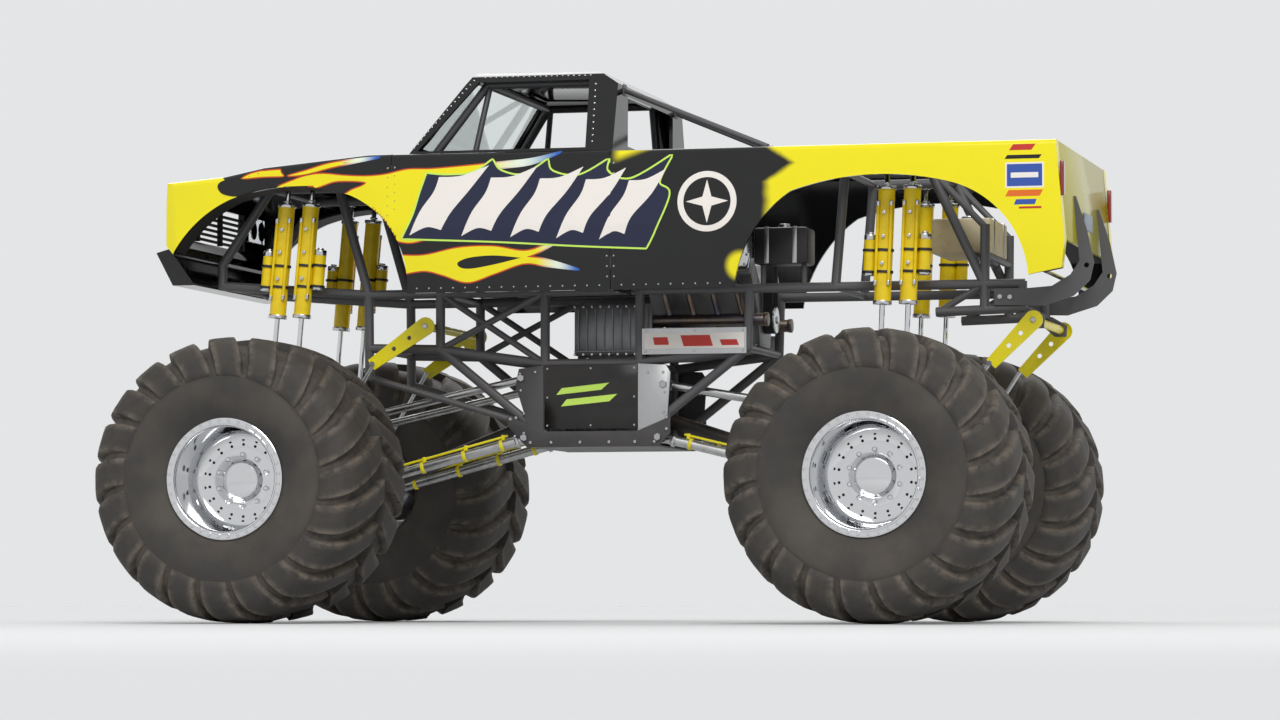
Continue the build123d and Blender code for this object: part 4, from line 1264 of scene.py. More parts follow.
@dataclass
class Brush:
    """Lays flat shapes on the skin as thin films of paint on both sides of the truck."""

    surface: BodySurface
    pitch: float = 14.0
    film: float = 0.0005

    def inside(self, spot: Vector, outline: Sequence[Vector]) -> bool:
        """Whether a spot lies within an outline and not on its edge.

        Args:
            spot: The spot.
            outline: The outline's corners.

        Returns:
            True inside.
        """
        odd = False
        for a, b in pairs(outline):
            if (a.y > spot.y) != (b.y > spot.y):
                odd ^= spot.x < (b.x - a.x) * (spot.y - a.y) / (b.y - a.y) + a.x
            near, share = intersect_point_line(spot, a, b)
            if 0 <= share <= 1 and (near.to_2d() - spot).length < self.pitch * 0.3:
                return False
        return odd

    def film_of(self, outline: Sequence[Vector], lift: float, view: View, fade: Spot) -> Piece:
        """One film of paint.

        Args:
            outline: Its edge, in millimetres.
            lift: How far it stands off the skin, in millimetres.
            view: From which side it is laid on.
            fade: The X of the full colour and the X of the tip.

        Returns:
            The film on the left side, or over the whole top.
        """
        (low_x, high_x), (low_y, high_y) = ((min(v), max(v)) for v in zip(*outline))
        grid = [
            Vector((x, y))
            for x in spaced(low_x + self.pitch / 2, self.pitch, int((high_x - low_x) / self.pitch))
            for y in spaced(low_y + self.pitch / 2, self.pitch, int((high_y - low_y) / self.pitch))
        ]
        inner = [spot for spot in grid if self.inside(spot, outline)]
        edge = [list(range(len(outline)))]
        corners, _, faces, *_ = delaunay_2d_cdt([*outline, *inner], [], edge, 1, 1e-4)
        found = [(self.surface.side if view is View.SIDE else self.surface.top)(c) for c in corners]
        kept = {i: n for n, i in enumerate(i for i, hit in enumerate(found) if hit)}
        places = [found[i][0] + found[i][1] * (lift / 1000) for i in kept]
        good = [tuple(kept[i] for i in face) for face in faces if all(i in kept for i in face)]
        piece = from_faces("film", places, good)
        warmth = piece.data.attributes.new("warmth", "FLOAT", "POINT")
        share = [((p.x - ORIGIN_X) * 1000 - fade[1]) / (fade[0] - fade[1]) for p in places]
        warmth.data.foreach_set("value", [min(1.0, max(0.0, s)) for s in share])
        way = OUT if view is View.SIDE else UP
        if sum(face.normal.dot(way) * face.area for face in piece.data.polygons) < 0:
            piece.data.flip_normals()
        return apply_modifier(piece, "SOLIDIFY", thickness=self.film, offset=-1.0)

    def lay(
        self, name: str, finish: Finish, outlines: Sequence[Sequence[Vector]], lift: float,
        fades: Sequence[Spot] = (), view: View = View.SIDE,
    ) -> None:
        """Lays shapes of one colour.

        Args:
            name: The piece's name.
            finish: The paint.
            outlines: The shapes.
            lift: Their height over the skin, in millimetres.
            fades: The X of each shape's full colour and of its tip.
            view: From which side they are laid on.
        """
        films = [
            self.film_of(outline, lift, view, fade)
            for outline, fade in zip_longest(outlines, fades, fillvalue=PLAIN)
        ]
        fit(name, films, finish, view is View.SIDE)


@dataclass
class Flames:
    """Traditional hot-rod flames from the front wheel's arch over the doors, with pinstripes."""

    brush: Brush
    # Each flame as strokes that meet in sharp tips and forks
    fender: Strokes = (
        ((1885, 2617), (1802, 2647), (1693, 2680), (1583, 2689), (1445, 2674), (1308, 2666),
         (1185, 2674), (1050, 2700), (900, 2700), (700, 2712), (480, 2728), (281, 2744),
         (100, 2782)),
        ((281, 2718), (480, 2697), (679, 2672), (840, 2628), (935, 2592)),
        ((738, 2602), (538, 2608), (215, 2590)),
        ((538, 2576), (738, 2556), (890, 2512), (985, 2462), (1015, 2430)),
        ((950, 2436), (840, 2428)),
        ((945, 2402), (1010, 2362), (1030, 2330)),
        ((900, 2326), (700, 2352)),
        ((888, 2294), (1023, 2264), (1125, 2280), (1150, 2300)),
        ((1172, 2335), (1215, 2385), (1262, 2436), (1330, 2492), (1400, 2532), (1450, 2556)),
        ((1400, 2586), (1330, 2610), (1307, 2630), (1375, 2641), (1500, 2643), (1580, 2622),
         (1640, 2604)),
        ((1717, 2612), (1800, 2616), (1885, 2617)),
    )
    door: Strokes = (
        ((1092, 2188), (941, 2186), (728, 2226), (514, 2230), (330, 2200), (209, 2226), (75, 2274)),
        ((225, 2196), (310, 2164)),
        ((191, 2146), (-10, 2084)),
        ((191, 2110), (328, 2126), (509, 2070), (676, 2022), (831, 2068), (939, 2094),
         (1066, 2080)),
        ((1080, 2130), (1092, 2188)),
    )
    shoulder: Strokes = (
        ((1812, 2684), (1694, 2712), (1517, 2754), (1225, 2780)),
        ((1516, 2730), (1693, 2692), (1812, 2684)),
    )
    patch: Strokes = (
        ((2110, 2676), (2060, 2700), (1990, 2716)), ((1861, 2722),), ((1856, 2705), (1838, 2684)),
        ((1980, 2684), (2110, 2676)),
    )
    # The X of each flame's full colour and of its tip; the patch has no tip
    fades: tuple[Spot, ...] = ((760.0, 90.0), (330.0, -10.0), (1560.0, 1225.0), (-3000.0, -3001.0))
    # The dark drops in the door's flame and in the nose
    drop: Strokes = (
        ((345, 2160), (512, 2177), (655, 2168), (722, 2148), (738, 2130), (716, 2108), (650, 2102),
         (511, 2124), (345, 2160)),
    )
    nose_drop: Strokes = (
        ((2140, 2676), (2225, 2668), (2262, 2650), (2266, 2622), (2236, 2588), (2160, 2570),
         (2100, 2580), (2030, 2604), (1924, 2622), (1990, 2660), (2140, 2676)),
    )
    # The left half of the bonnet's flames from the middle tip outwards, as X and Y
    hood: Strokes = (
        ((1400, 0), (1640, 62), (1860, 92), (1990, 110)), ((1840, 128), (1700, 122), (1500, 90)),
        ((1700, 180), (1900, 215), (2010, 235)), ((1850, 300), (1650, 330), (1400, 290)),
        ((1620, 400), (1850, 420), (2020, 440)), ((1850, 520), (1600, 560), (1300, 500)),
        ((1560, 640), (1850, 660), (2060, 650)), ((1900, 740), (1750, 770), (1560, 760)),
        ((1780, 840), (2000, 850), (2300, 820)), ((2300, 1),),
    )
    hood_fade: Spot = (1800.0, 1350.0)
    hood_edge: float = 2296
    stripe: Spot = (8, 9)  # width of the pinstripes on the sides and on the bonnet

    def build(self) -> None:
        """Lays the pinstripes, the flames over them and the dark drops in the flames."""
        flames = [drawn(strokes) for strokes in (self.fender, self.door, self.shoulder, self.patch)]
        stripes = [grown(flame, self.stripe[0]) for flame in flames]
        self.brush.lay("FlamePinstripes", FLAME_RED, stripes, 1.9, self.fades)
        self.brush.lay("Flames", FLAME_YELLOW, flames, 2.5, self.fades)
        self.brush.lay("FlameDrops", INK_PAINT, [drawn(self.drop), drawn(self.nose_drop)], 3.1)
        half = drawn(self.hood)
        hood = [*half, *(Vector((p.x, -p.y)) for p in reversed(half[1:]))]
        stripe = [Vector((min(p.x, self.hood_edge), p.y)) for p in grown(hood, self.stripe[1])]
        self.brush.lay("HoodPinstripes", FLAME_RED, [stripe], 1.2, [self.hood_fade], View.TOP)
        self.brush.lay("HoodFlames", FLAME_YELLOW, [hood], 1.9, [self.hood_fade], View.TOP)


@dataclass
class SideArt:
    """Slanted white blades on a navy ground with a lime keyline, and a ringed star behind them."""

    brush: Brush
    # X of each blade's foot, its width, and the height of its foot
    blades: Rows = (
        (990, 258, 2326), (668, 240, 2315), (366, 222, 2303), (84, 204, 2291), (-178, 188, 2279),
    )
    lean: float = 140
    rise: float = 325
    ground: Strokes = (
        ((1075, 2290), (1010, 2420), (965, 2560), (925, 2672)),
        ((800, 2660), (640, 2672), (520, 2745)),
        ((470, 2680), (330, 2652), (180, 2738)), ((150, 2668), (-10, 2640), (-190, 2730)),
        ((-190, 2655), (-330, 2612), (-575, 2745)),
        ((-500, 2590), (-560, 2520), (-470, 2300), (-420, 2205)),
        ((0, 2228), (500, 2262), (1075, 2290)),
    )
    keyline: float = 11
    star_at: Spot = (-790, 2470)
    ring: Spot = (178, 142)
    star: Spot = (128, 128 * 0.30)  # radius of its points and of the hollows between them

    def blade(self, foot_x: float, width: float, foot_z: float) -> list[Vector]:
        """One blade, leaning back, with a hooked tip and a notched foot.

        Args:
            foot_x: Where its leading edge starts.
            width: Its width along the truck.
            foot_z: The height of its foot.

        Returns:
            Its outline.
        """
        x, z, start = foot_x - self.lean, foot_z + self.rise, (foot_x + 42, foot_z - 20)
        return drawn((
            (start, (foot_x - 22, foot_z + 120), (x + 34, z - 90), (x, z)),
            ((x - width * 0.55, z + 6), (x - width * 1.2, z + 64)),
            ((x - width * 0.74, z - 80), (foot_x - width * 0.83, foot_z + 110),
             (foot_x - width * 0.60, foot_z + 8)),
            ((foot_x - width * 0.25, foot_z + 26), start),
        ))

    def round_star(self, radii: Sequence[float], count: int) -> list[Vector]:
        """Corners round the star's middle, from its top.

        Args:
            radii: Their distances, one after the other.
            count: How many corners.

        Returns:
            The corners.
        """
        corners = []
        for i, angle in enumerate(spaced(math.pi / 2, 2 * math.pi / count, count)):
            reach = Vector((math.cos(angle), math.sin(angle))) * radii[i % len(radii)]
            corners.append(Vector(self.star_at) + reach)
        return corners

    def build(self) -> None:
        """Lays the ground with its keyline, the blades, and the ringed star."""
        ground, (ring, hole) = drawn(self.ground), self.ring
        for name, finish, shapes, lift in (
            ("BladeKeyline", LIME_PAINT, [grown(ground, self.keyline)], 3.7),
            ("BladeGround", NAVY_PAINT, [ground], 4.3),
            ("Blades", WHITE_PAINT, [self.blade(*row) for row in self.blades], 4.9),
            ("StarRing", WHITE_PAINT, [self.round_star([ring], 64)], 1.5),
            ("StarField", INK_PAINT, [self.round_star([hole], 64)], 2.1),
            ("Star", WHITE_PAINT, [self.round_star(self.star, 8)], 2.7),
        ):
            self.brush.lay(name, finish, shapes, lift)


@dataclass
class QuarterStickers:
    """Plain colour blocks on the bed's rear corner, where such trucks carry stickers."""

    brush: Brush
    # Name, paint and lift of each layer; middle X and Z, width, height and lean of its blocks
    layers: tuple[tuple[str, Finish, float, Rows], ...] = (
        ("StickerWhite", WHITE_PAINT, 0.7, ((-2668, 2580, 225, 148, 0),)),
        ("StickerBlue", BLUE_VINYL, 1.1, ((-2668, 2580, 205, 128, 0), (-2672, 2425, 120, 30, 6))),
        ("StickerRed", RED_VINYL, 1.1, ((-2655, 2742, 130, 34, 12), (-2700, 2392, 130, 12, 0))),
        ("StickerOrange", ORANGE_VINYL, 1.1, ((-2665, 2476, 200, 36, 10),)),
        ("StickerBlack", INK_PAINT, 1.1, ((-2660, 2686, 200, 22, 8),)),
        ("StickerBars", WHITE_PAINT, 1.6, ((-2668, 2580, 160, 30, 0),)),
    )

    def block(self, x: float, z: float, width: float, height: float, lean: float) -> list[Vector]:
        """A leaning block's four corners."""
        senses = ((-1, 1), (-1, -1), (1, -1), (1, 1))
        return [Vector((x + a * width / 2 - b * lean, z + b * height / 2)) for a, b in senses]

    def build(self) -> None:
        """Sticks the blocks on, the white ground first."""
        for name, finish, lift, rows in self.layers:
            self.brush.lay(name, finish, [self.block(*row) for row in rows], lift)


# Small parts


@dataclass
class ShockDress:
    """What is bolted to the shocks: bypass tubes, caps, clamp bands, studs and knobs."""

    # Axle's X, the two studs' X, and the height of the shelf's underside
    pairs: Rows = ((AXLE_X, 1766, 1921, 2647), (-AXLE_X, -1949, -1794, 2672))
    y: float = 620
    foot_z: float = 1085
    pitch: float = 155
    ear: float = 16  # half height of the eye under the shelf
    # Start, end, radius, sides and chamfer along the shock or its reservoir, in metres
    tube: Rows = ((0.09, 0.59, 0.0095, 20, 0.002),)
    tube_nuts: Rows = ((0.09, 0.12, 0.0125, 6, 0.002), (0.56, 0.59, 0.0125, 6, 0.002))
    can_caps: Rows = (
        (-0.004, 0.030, 0.0385, 40, 0.004), (-0.016, -0.003, 0.020, 24, 0.003),
        (0.215, 0.240, 0.0385, 40, 0.003),
    )
    collars: Rows = (
        (-0.001, 0.022, 0.0565, 48, 0.003), (0.678, 0.702, 0.0565, 48, 0.003),
        (-0.008, -0.020, 0.026, 6, 0.002), (-0.090, -0.102, 0.026, 6, 0.002),
    )
    bands: Rows = ((0.372, 0.388, 0.0575, 48, 0.002), (0.500, 0.516, 0.0575, 48, 0.002))
    can_bands: Rows = ((0.082, 0.098, 0.0445, 40, 0.002), (0.210, 0.226, 0.0445, 40, 0.002))
    knob: Rows = ((0.056, 0.069, 0.011, 16, 0.002),)
    knobs: tuple[float, ...] = (0.16, 0.30, 0.46)
    tube_off: Vector = field(default_factory=lambda: Vector((0, 0.0585, 0)))
    tube_turns: Spot = (-42, 42)
    can_down: float = 0.290
    can_aside: float = 0.085

    def axes(self) -> list[tuple[Vector, Vector, int]]:
        """Each left shock's line.

        Returns:
            Its upper end, its way down, and the side its reservoir is on.
        """
        rows = []
        for axle_x, *tops, shelf in self.pairs:
            for i, top_x in enumerate(tops):
                foot = at(axle_x + 10 + i * self.pitch, self.y, self.foot_z)
                way = (foot - at(top_x, self.y, shelf)).normalized()
                top = at(top_x, self.y, shelf - 0.3 - self.ear * abs(way.x))
                way = (foot - top).normalized()
                rows.append((top + way * 0.1, way, 2 * i - 1))
        return rows

    def build(self) -> None:
        """Fits the bright and the black parts to all eight shocks."""
        bright, black, tubes = [], [], []
        for start, way, aside in self.axes():
            for turn in self.tube_turns:
                beside = start + Matrix.Rotation(math.radians(turn), 3, "Z") @ self.tube_off
                tubes += rods(beside, way, self.tube)
                bright += rods(beside, way, self.tube_nuts)
            can = start + way * self.can_down + NOSEWARD * (aside * self.can_aside)
            bright += rods(can, way, self.can_caps) + rods(start, way, self.collars)
            black += rods(start, way, self.bands) + rods(can, way, self.can_bands)
            for down in self.knobs:
                bright += rods(start + way * down, OUT, self.knob)
        fit("BypassTubes", tubes, SHOCK_YELLOW)
        fit("ShockCaps", bright, MACHINED)
        fit("ShockBands", black, SATIN_BLACK)


@dataclass
class ChassisFasteners:
    """Bolt heads on the plates, arms, hoops and axles, and the aft gussets' own colour."""

    plate_y: float = 468.8
    # X and Z of the heads on each kind of plate, their radius and height in metres
    plates: tuple[tuple[tuple[Spot, ...], float, float], ...] = (
        (((555, 1228), (430, 1085), (300, 1085), (120, 1085), (-60, 1085), (-220, 1085),
          (-340, 1085), (-415, 1160), (-415, 1230), (520, 1235), (470, 1140)), 0.011, 0.009),
        (((470, 1260), (490, 1400), (495, 1500), (400, 1510), (-300, 1500), (-395, 1500),
          (-405, 1380), (-395, 1260)), 0.009, 0.008),
        (((-215, 1185), (-215, 1355), (-215, 1528), (325, 1185), (325, 1355), (325, 1528),
          (55, 1185), (55, 1528)), 0.007, 0.005),
        (((-885, 1625), (-885, 1745), (-585, 1625), (-585, 1745), (-282, 1625),
          (-282, 1745)), 0.008, 0.006),
        (((470, 1115), (490, 1475), (-359, 1112), (-395, 1427)), 0.024, 0.018),
        (((-2432, 1917), (-2491, 1914)), 0.016, 0.012),
    )
    arms: Rows = ((1064, 574, 1790), (-2647, 574, 1771), (1396, 574, 1565), (-2388, 574, 1520))
    arm_head: Spot = (0.017, 0.014)
    gusset: tuple[Spot, ...] = (
        (-238, 1151), (-419, 1226), (-438, 1499), (-409, 1543), (-238, 1553),
    )
    gusset_y: Spot = (469.0, 470.2)
    case_bolts: int = 12
    case_ring: Spot = (132, 125)  # radius and Y of the ring round an axle's centre case
    case_head: Spot = (0.012, 0.010)

    def build(self) -> None:
        """Sets every head on the surface it clamps."""
        heads = []
        for spots, *head in self.plates:
            heads += screws([(at(x, self.plate_y, z), OUT) for x, z in spots], *head)
        heads += screws([(at(*spot), OUT) for spot in self.arms], *self.arm_head)
        fit("PlateBolts", heads, ROD_STEEL)
        fit("AftGussetFaces", [prism(self.gusset, self.gusset_y, 0.0004)], BRUSHED)
        ring, (radius, y), turn = [], self.case_ring, 2 * math.pi / self.case_bolts
        for axle_x in (AXLE_X, -AXLE_X):
            for angle in spaced(turn / 2, turn, self.case_bolts):
                place = at(axle_x + radius * math.cos(angle), y, AXLE_Z + radius * math.sin(angle))
                ring.append((place, OUT))
        fit("AxleBolts", screws(ring, *self.case_head), ROD_STEEL)


@dataclass
class LinkDress:
    """Yellow clamps with rigid fluid lines on the lower links, and lock nuts behind their eyes."""

    # X, Y and Z of each left lower link's head and foot
    lowers: Rows = ((470, 365, 1115, 1774, 400, 770), (-359, 365, 1112, -1774, 400, 770))
    clamp_shares: tuple[float, ...] = (0.12, 0.30, 0.50, 0.72)
    nut_shares: Spot = (0.045, 0.945)
    line_shares: Spot = (0.10, 0.75)
    clamp: Rows = ((0, 0.022, 0.036, 32, 0.003),)
    block: tuple[Vector, Vector] = (Vector((-0.009, -0.012, 0.030)), Vector((0.013, 0.012, 0.062)))
    nut: Rows = ((0, 0.024, 0.041, 6, 0.003),)

    def build(self) -> None:
        """Fits clamps, lines and nuts to the lower links on both sides."""
        yellow, bright = [], []
        for row in self.lowers:
            head, foot = at(*row[:3]), at(*row[3:])
            way = (foot - head).normalized()
            for share in self.clamp_shares:
                place = head.lerp(foot, share)
                yellow += rods(place, way, self.clamp)
                yellow.append(slab(place + self.block[0], place + self.block[1], 0.003))
            ends = [head.lerp(foot, share) + UP * 0.050 for share in self.line_shares]
            yellow.append(rod(*ends, 0.0075, 20, 0.001))
            for share in self.nut_shares:
                bright += rods(head.lerp(foot, share), way, self.nut)
        fit("LinkClamps", yellow, ARM_YELLOW)
        fit("LinkNuts", bright, ZINC)


@dataclass
class EngineDress:
    """Headers, belt drive, fins, bolts and butterflies on the engine, and ribs on its gearbox."""

    crank_z: float = 1830.3
    middle_x: float = -587.5
    collector: Rows = ((0, 0.685, 0.038, 40, 0.004), (0.685, 0.710, 0.042, 40, 0.003))
    collector_at: Point = (-300, 335, -15)
    pipe_pitch: float = 150
    # From each port: X, then Y and height over the crank
    bends: Rows = (
        (0, 362.5, 225), (-4, 374, 208), (-20, 367, 120), (-38, 341, 30), (-46, 335, -15),
    )
    flange: Rows = ((-0.001, 0.007, 0.032, 6, 0.001),)
    flange_at: Spot = (363.0, 224.6)
    belt_x: Spot = (-915.5, 62)  # the engine's back and the drive's width
    wheels: tuple[Spot, Spot] = ((0.0, 75.0), (430.0, 55.0))  # rise over the crank and radius
    belt_thick: float = 8
    # Y and height over the crank of both corners of the blower's fins, and of its end flanges
    fins: Rows = ((-151, 240, -131, 545), (151, 240, 131, 545), (-120, 559, 120, 566))
    flanges: Rows = ((-806, -128, 300, -798, 128, 552), (-342, -128, 300, -334, 128, 552))
    fin_xs: Point = (-790, 36.5, 13)  # first X, step and count
    fin_thick: float = 8
    throats: tuple[Point, ...] = ((-380.5, -118, 946), (-380.5, 0, 946), (-380.5, 118, 946))
    butterfly: Rows = ((0.001, 0.0045, 0.044, 40, 0.001),)
    # Painted shade: a black disc behind each butterfly stands in for the dark inside of its throat
    throat_rim: Rows = ((0, 0.0021, 0.050, 40, 0.0005),)
    # The valve cover's heads: X, place on the deck, height of its top and half their distance
    cover_xs: Point = (-880, 117, 6)
    cover_at: Spot = (280, 240)
    cover_top: float = 0.1476
    cover_half: float = 0.044
    # Corners of the gearbox's end plate, then its long rib; X, Y and Z
    end_plate: Rows = ((-258, 160, 1612, -238, 184, 1938),)
    long_rib: Rows = ((-255, 160, 1640, 236, 180, 1652),)
    # First X, step and count of the ribs, then Y and Z of both their corners
    ribs: Rows = ((-225, 54, 9, 168, 1645, 178, 1905), (-45, 64, 6, 228, 1090, 237, 1480))
    rib_thick: float = 9
    # First X, step, count, then Y and Z of the heads along the gearbox and the transfer case
    case_heads: Rows = ((-198, 54, 9, 170, 1628), (-198, 54, 9, 170, 1918), (-48, 56, 7, 230, 1078))
    plug: Rows = ((-0.004, 0.005, 0.024, 28, 0.002),)
    # First X, step, count, then Y and height over the crank, and the way the block's wall faces
    plugs: Rows = ((-840, 165, 4, 169, -45),)
    sump_heads: Rows = ((-890, 67, 10, 143, -155),)
    wall: Vector = field(default_factory=lambda: Vector((0, 210, -50)).normalized())

    def on(self, x: float, y: float, z: float) -> Vector:
        """A place from its X, Y and height over the crank, in millimetres."""
        return at(x, y, self.crank_z + z)

    def headers(self) -> None:
        """Four pipes a side from the heads down to a collector that points back."""
        pieces, flanges = rods(self.on(*self.collector_at), -NOSEWARD, self.collector), []
        for port in spaced(self.middle_x - 1.5 * self.pipe_pitch, self.pipe_pitch, 4):
            pieces.append(pipe([self.on(port + x, y, z) for x, y, z in self.bends], 0.0195))
            flanges += rods(self.on(port, *self.flange_at), (OUT - UP).normalized(), self.flange)
        fit("Headers", pieces, HEADER_STEEL)
        fit("HeaderFlanges", flanges, ROD_STEEL)

    def belt(self) -> None:
        """The blower's toothed belt and its two pulleys behind the engine."""
        (back, wide), pulleys = self.belt_x, []
        for rise, radius in self.wheels:
            pulleys += rods(self.on(back, 0, rise), -NOSEWARD, (
                (0, 0.068, radius / 1000 - 0.002, 48, 0.003),
                (0.066, 0.071, radius / 1000 + 0.004, 48, 0.001),
                (0.071, 0.084, 0.024, 6, 0.002),
            ))
        fit("Pulleys", pulleys, MACHINED, both=False)
        loops = [self.loop(more) for more in (0.0, self.belt_thick)]
        count = len(loops[0])
        ends = (back - 3, back - wide)
        corners = [self.on(x, y, z) for x in ends for loop in loops for y, z in loop]
        faces = []
        for i in range(count):
            j = (i + 1) % count
            for a, b in ((0, 1), (2, 3), (1, 3), (0, 2)):
                faces.append((a * count + i, a * count + j, b * count + j, b * count + i))
        belt = tidy_normals(from_faces("belt", corners, faces))
        finished(belt, "BlowerBelt", BELT_RUBBER)

    def loop(self, more: float, steps: int = 20) -> list[Spot]:
        """The line round both wheels.

        Args:
            more: Its distance from their rims, in millimetres.
            steps: Corners round each wheel.

        Returns:
            Its corners as Y and height over the crank.
        """
        (low, low_r), (high, high_r) = self.wheels
        tilt = math.asin((low_r - high_r) / (high - low))
        line = []
        for middle, rim, start, turn in (
            (high, high_r + more, tilt, math.pi - 2 * tilt),
            (low, low_r + more, math.pi - tilt, math.pi + 2 * tilt),
        ):
            for angle in spaced(start, turn / steps, steps + 1):
                line.append((rim * math.cos(angle), middle + rim * math.sin(angle)))
        return line

    def blower(self) -> None:
        """Ribs and end flanges on the blower, throats in the intake and bolts on the covers."""
        xs, thick = spaced(*self.fin_xs), self.fin_thick
        fins = [(x, y, z, x + thick, v, w) for x in xs for y, z, v, w in self.fins]
        ribs = slabs(fins, 0.0015, 1, self.crank_z) + slabs(self.flanges, 0.003, rise=self.crank_z)
        fit("BlowerRibs", ribs, MACHINED, both=False)
        # The black discs under the butterflies are painted shade for the throats' insides
        for name, rows, finish in (
            ("Butterflies", self.butterfly, BRUSHED), ("ThroatShades", self.throat_rim, GLOSS_BLACK),
        ):
            middles = [self.on(*spot) for spot in self.throats]
            pieces = [piece for middle in middles for piece in rods(middle, NOSEWARD, rows)]
            fit(name, pieces, finish, both=False)
        slant, down = (OUT + UP).normalized(), (OUT - UP).normalized()
        heads = [
            (self.on(x, *self.cover_at) + slant * self.cover_top + down * across, slant)
            for x in spaced(*self.cover_xs) for across in (-self.cover_half, self.cover_half)
        ]
        fit("CoverBolts", screws(heads, 0.008, 0.007), ROD_STEEL)

    def castings(self) -> None:
        """Stiffening ribs and bolt rows on the gearbox, transfer case and block, and core plugs."""
        ribs = [
            (x, y, z, x + self.rib_thick, v, w)
            for *row, y, z, v, w in self.ribs for x in spaced(*row)
        ]
        castings = slabs([*ribs, *self.long_rib], segments=1) + slabs(self.end_plate, 0.004)
        fit("GearboxRibs", castings, CAST)
        heads = [(at(x, y, z), OUT) for *row, y, z in self.case_heads for x in spaced(*row)]
        fit("GearboxBolts", screws(heads, 0.009, 0.008), ROD_STEEL)
        bores = [self.on(x, y, z) for *row, y, z in self.plugs for x in spaced(*row)]
        plugs = [plug for bore in bores for plug in rods(bore, self.wall, self.plug)]
        fit("CorePlugs", plugs, MACHINED)
        seats = [self.on(x, y, z) for *row, y, z in self.sump_heads for x in spaced(*row)]
        sump = [(seat, self.wall) for seat in seats]
        fit("SumpBolts", screws(sump, 0.008, 0.007), ROD_STEEL)

    def build(self) -> None:
        """Fits everything to the engine and gearbox."""
        self.headers()
        self.belt()
        self.blower()
        self.castings()


@dataclass
class CabStays:
    """A tube on each side from the cab's back down to the bed's rail."""

    top: Point = (-202, 640, 3180)
    foot: Point = (-1138, 915, 2790)
    radius: float = 0.017
    pads: Rows = ((-204, 600, 3145, -199, 680, 3215), (-1180, 885, 2785, -1096, 945, 2791))

    def build(self) -> None:
        """Fits both stays with their mounting pads."""
        stay = rod(at(*self.top), at(*self.foot), self.radius, 32, 0.002)
        fit("CabStays", [stay, *slabs(self.pads, 0.0015)], FRAME_COAT)


@dataclass
class BodyTrim:
    """Rivets, pins, lamps and the blank plate on the body."""

    surface: BodySurface
    # First and last X and Z of each row of rivets, and their number
    rivet_rows: Rows = (
        (1050, 2822, 688, 3262, 17), (650, 3268, -40, 3262, 20), (-60, 3225, -70, 2830, 10),
        (1128, 2740, 1128, 2440, 6), (-180, 2740, -180, 2010, 12), (-222, 2740, -222, 2010, 12),
        (1172, 2740, 1172, 2400, 6), (1030, 1990, -170, 1990, 16), (-230, 1990, -900, 1990, 9),
    )
    rivet: tuple[float, ...] = (-0.001, 0.0025, 0.0055, 12, 0.0014)
    bowl: Rows = ((0, 0.009, 0.062, 40, 0.004),)
    bowls: tuple[Point, ...] = ((2560, 575, 2497), (2560, 725, 2497))
    lamp_frame: Rows = (
        (2607, 495, 2578, 2616, 805, 2586), (2607, 495, 2409, 2616, 805, 2417),
        (2607, 495, 2409, 2616, 503, 2586), (2607, 797, 2409, 2616, 805, 2586),
    )
    tail_lamp: Rows = ((-2893, 915, 2460, -2868, 972, 2660),)
    plate: Rows = ((-2892, -152, 2330, -2884, 152, 2430),)
    pins: tuple[Spot, ...] = ((2380, 560), (1350, 620))
    pin: Rows = ((-0.001, 0.003, 0.026, 28, 0.001), (0.002, 0.022, 0.006, 14, 0.001))

    def build(self) -> None:
        """Fits domed rivets along the seams, the lamps, the blank plate and the bonnet's pins."""
        spots = []
        for *ends, count in self.rivet_rows:
            first, last = Vector(ends[:2]), Vector(ends[2:])
            spots += [self.surface.side(first.lerp(last, (i + 0.5) / count)) for i in range(count)]
        (dome,) = rods(Vector(), UP, (self.rivet,))
        rivets = copied(dome, [aimed(*spot) for spot in spots if spot])
        fit("Rivets", rivets, ROD_STEEL)
        bowls = [bowl for spot in self.bowls for bowl in rods(at(*spot), NOSEWARD, self.bowl)]
        fit("LampBowls", bowls, REFLECTOR)
        fit("LampFrames", slabs(self.lamp_frame), SATIN_BLACK)
        fit("TailLamps", slabs(self.tail_lamp, 0.006, 3), RED_LENS)
        fit("BlankPlate", slabs(self.plate), PLATE_BLUE, both=False)
        hits = [self.surface.top(Vector(spot)) for spot in self.pins]
        pins = [piece for hit in hits if hit for piece in rods(*hit, self.pin)]
        fit("BonnetPins", pins, ROD_STEEL)


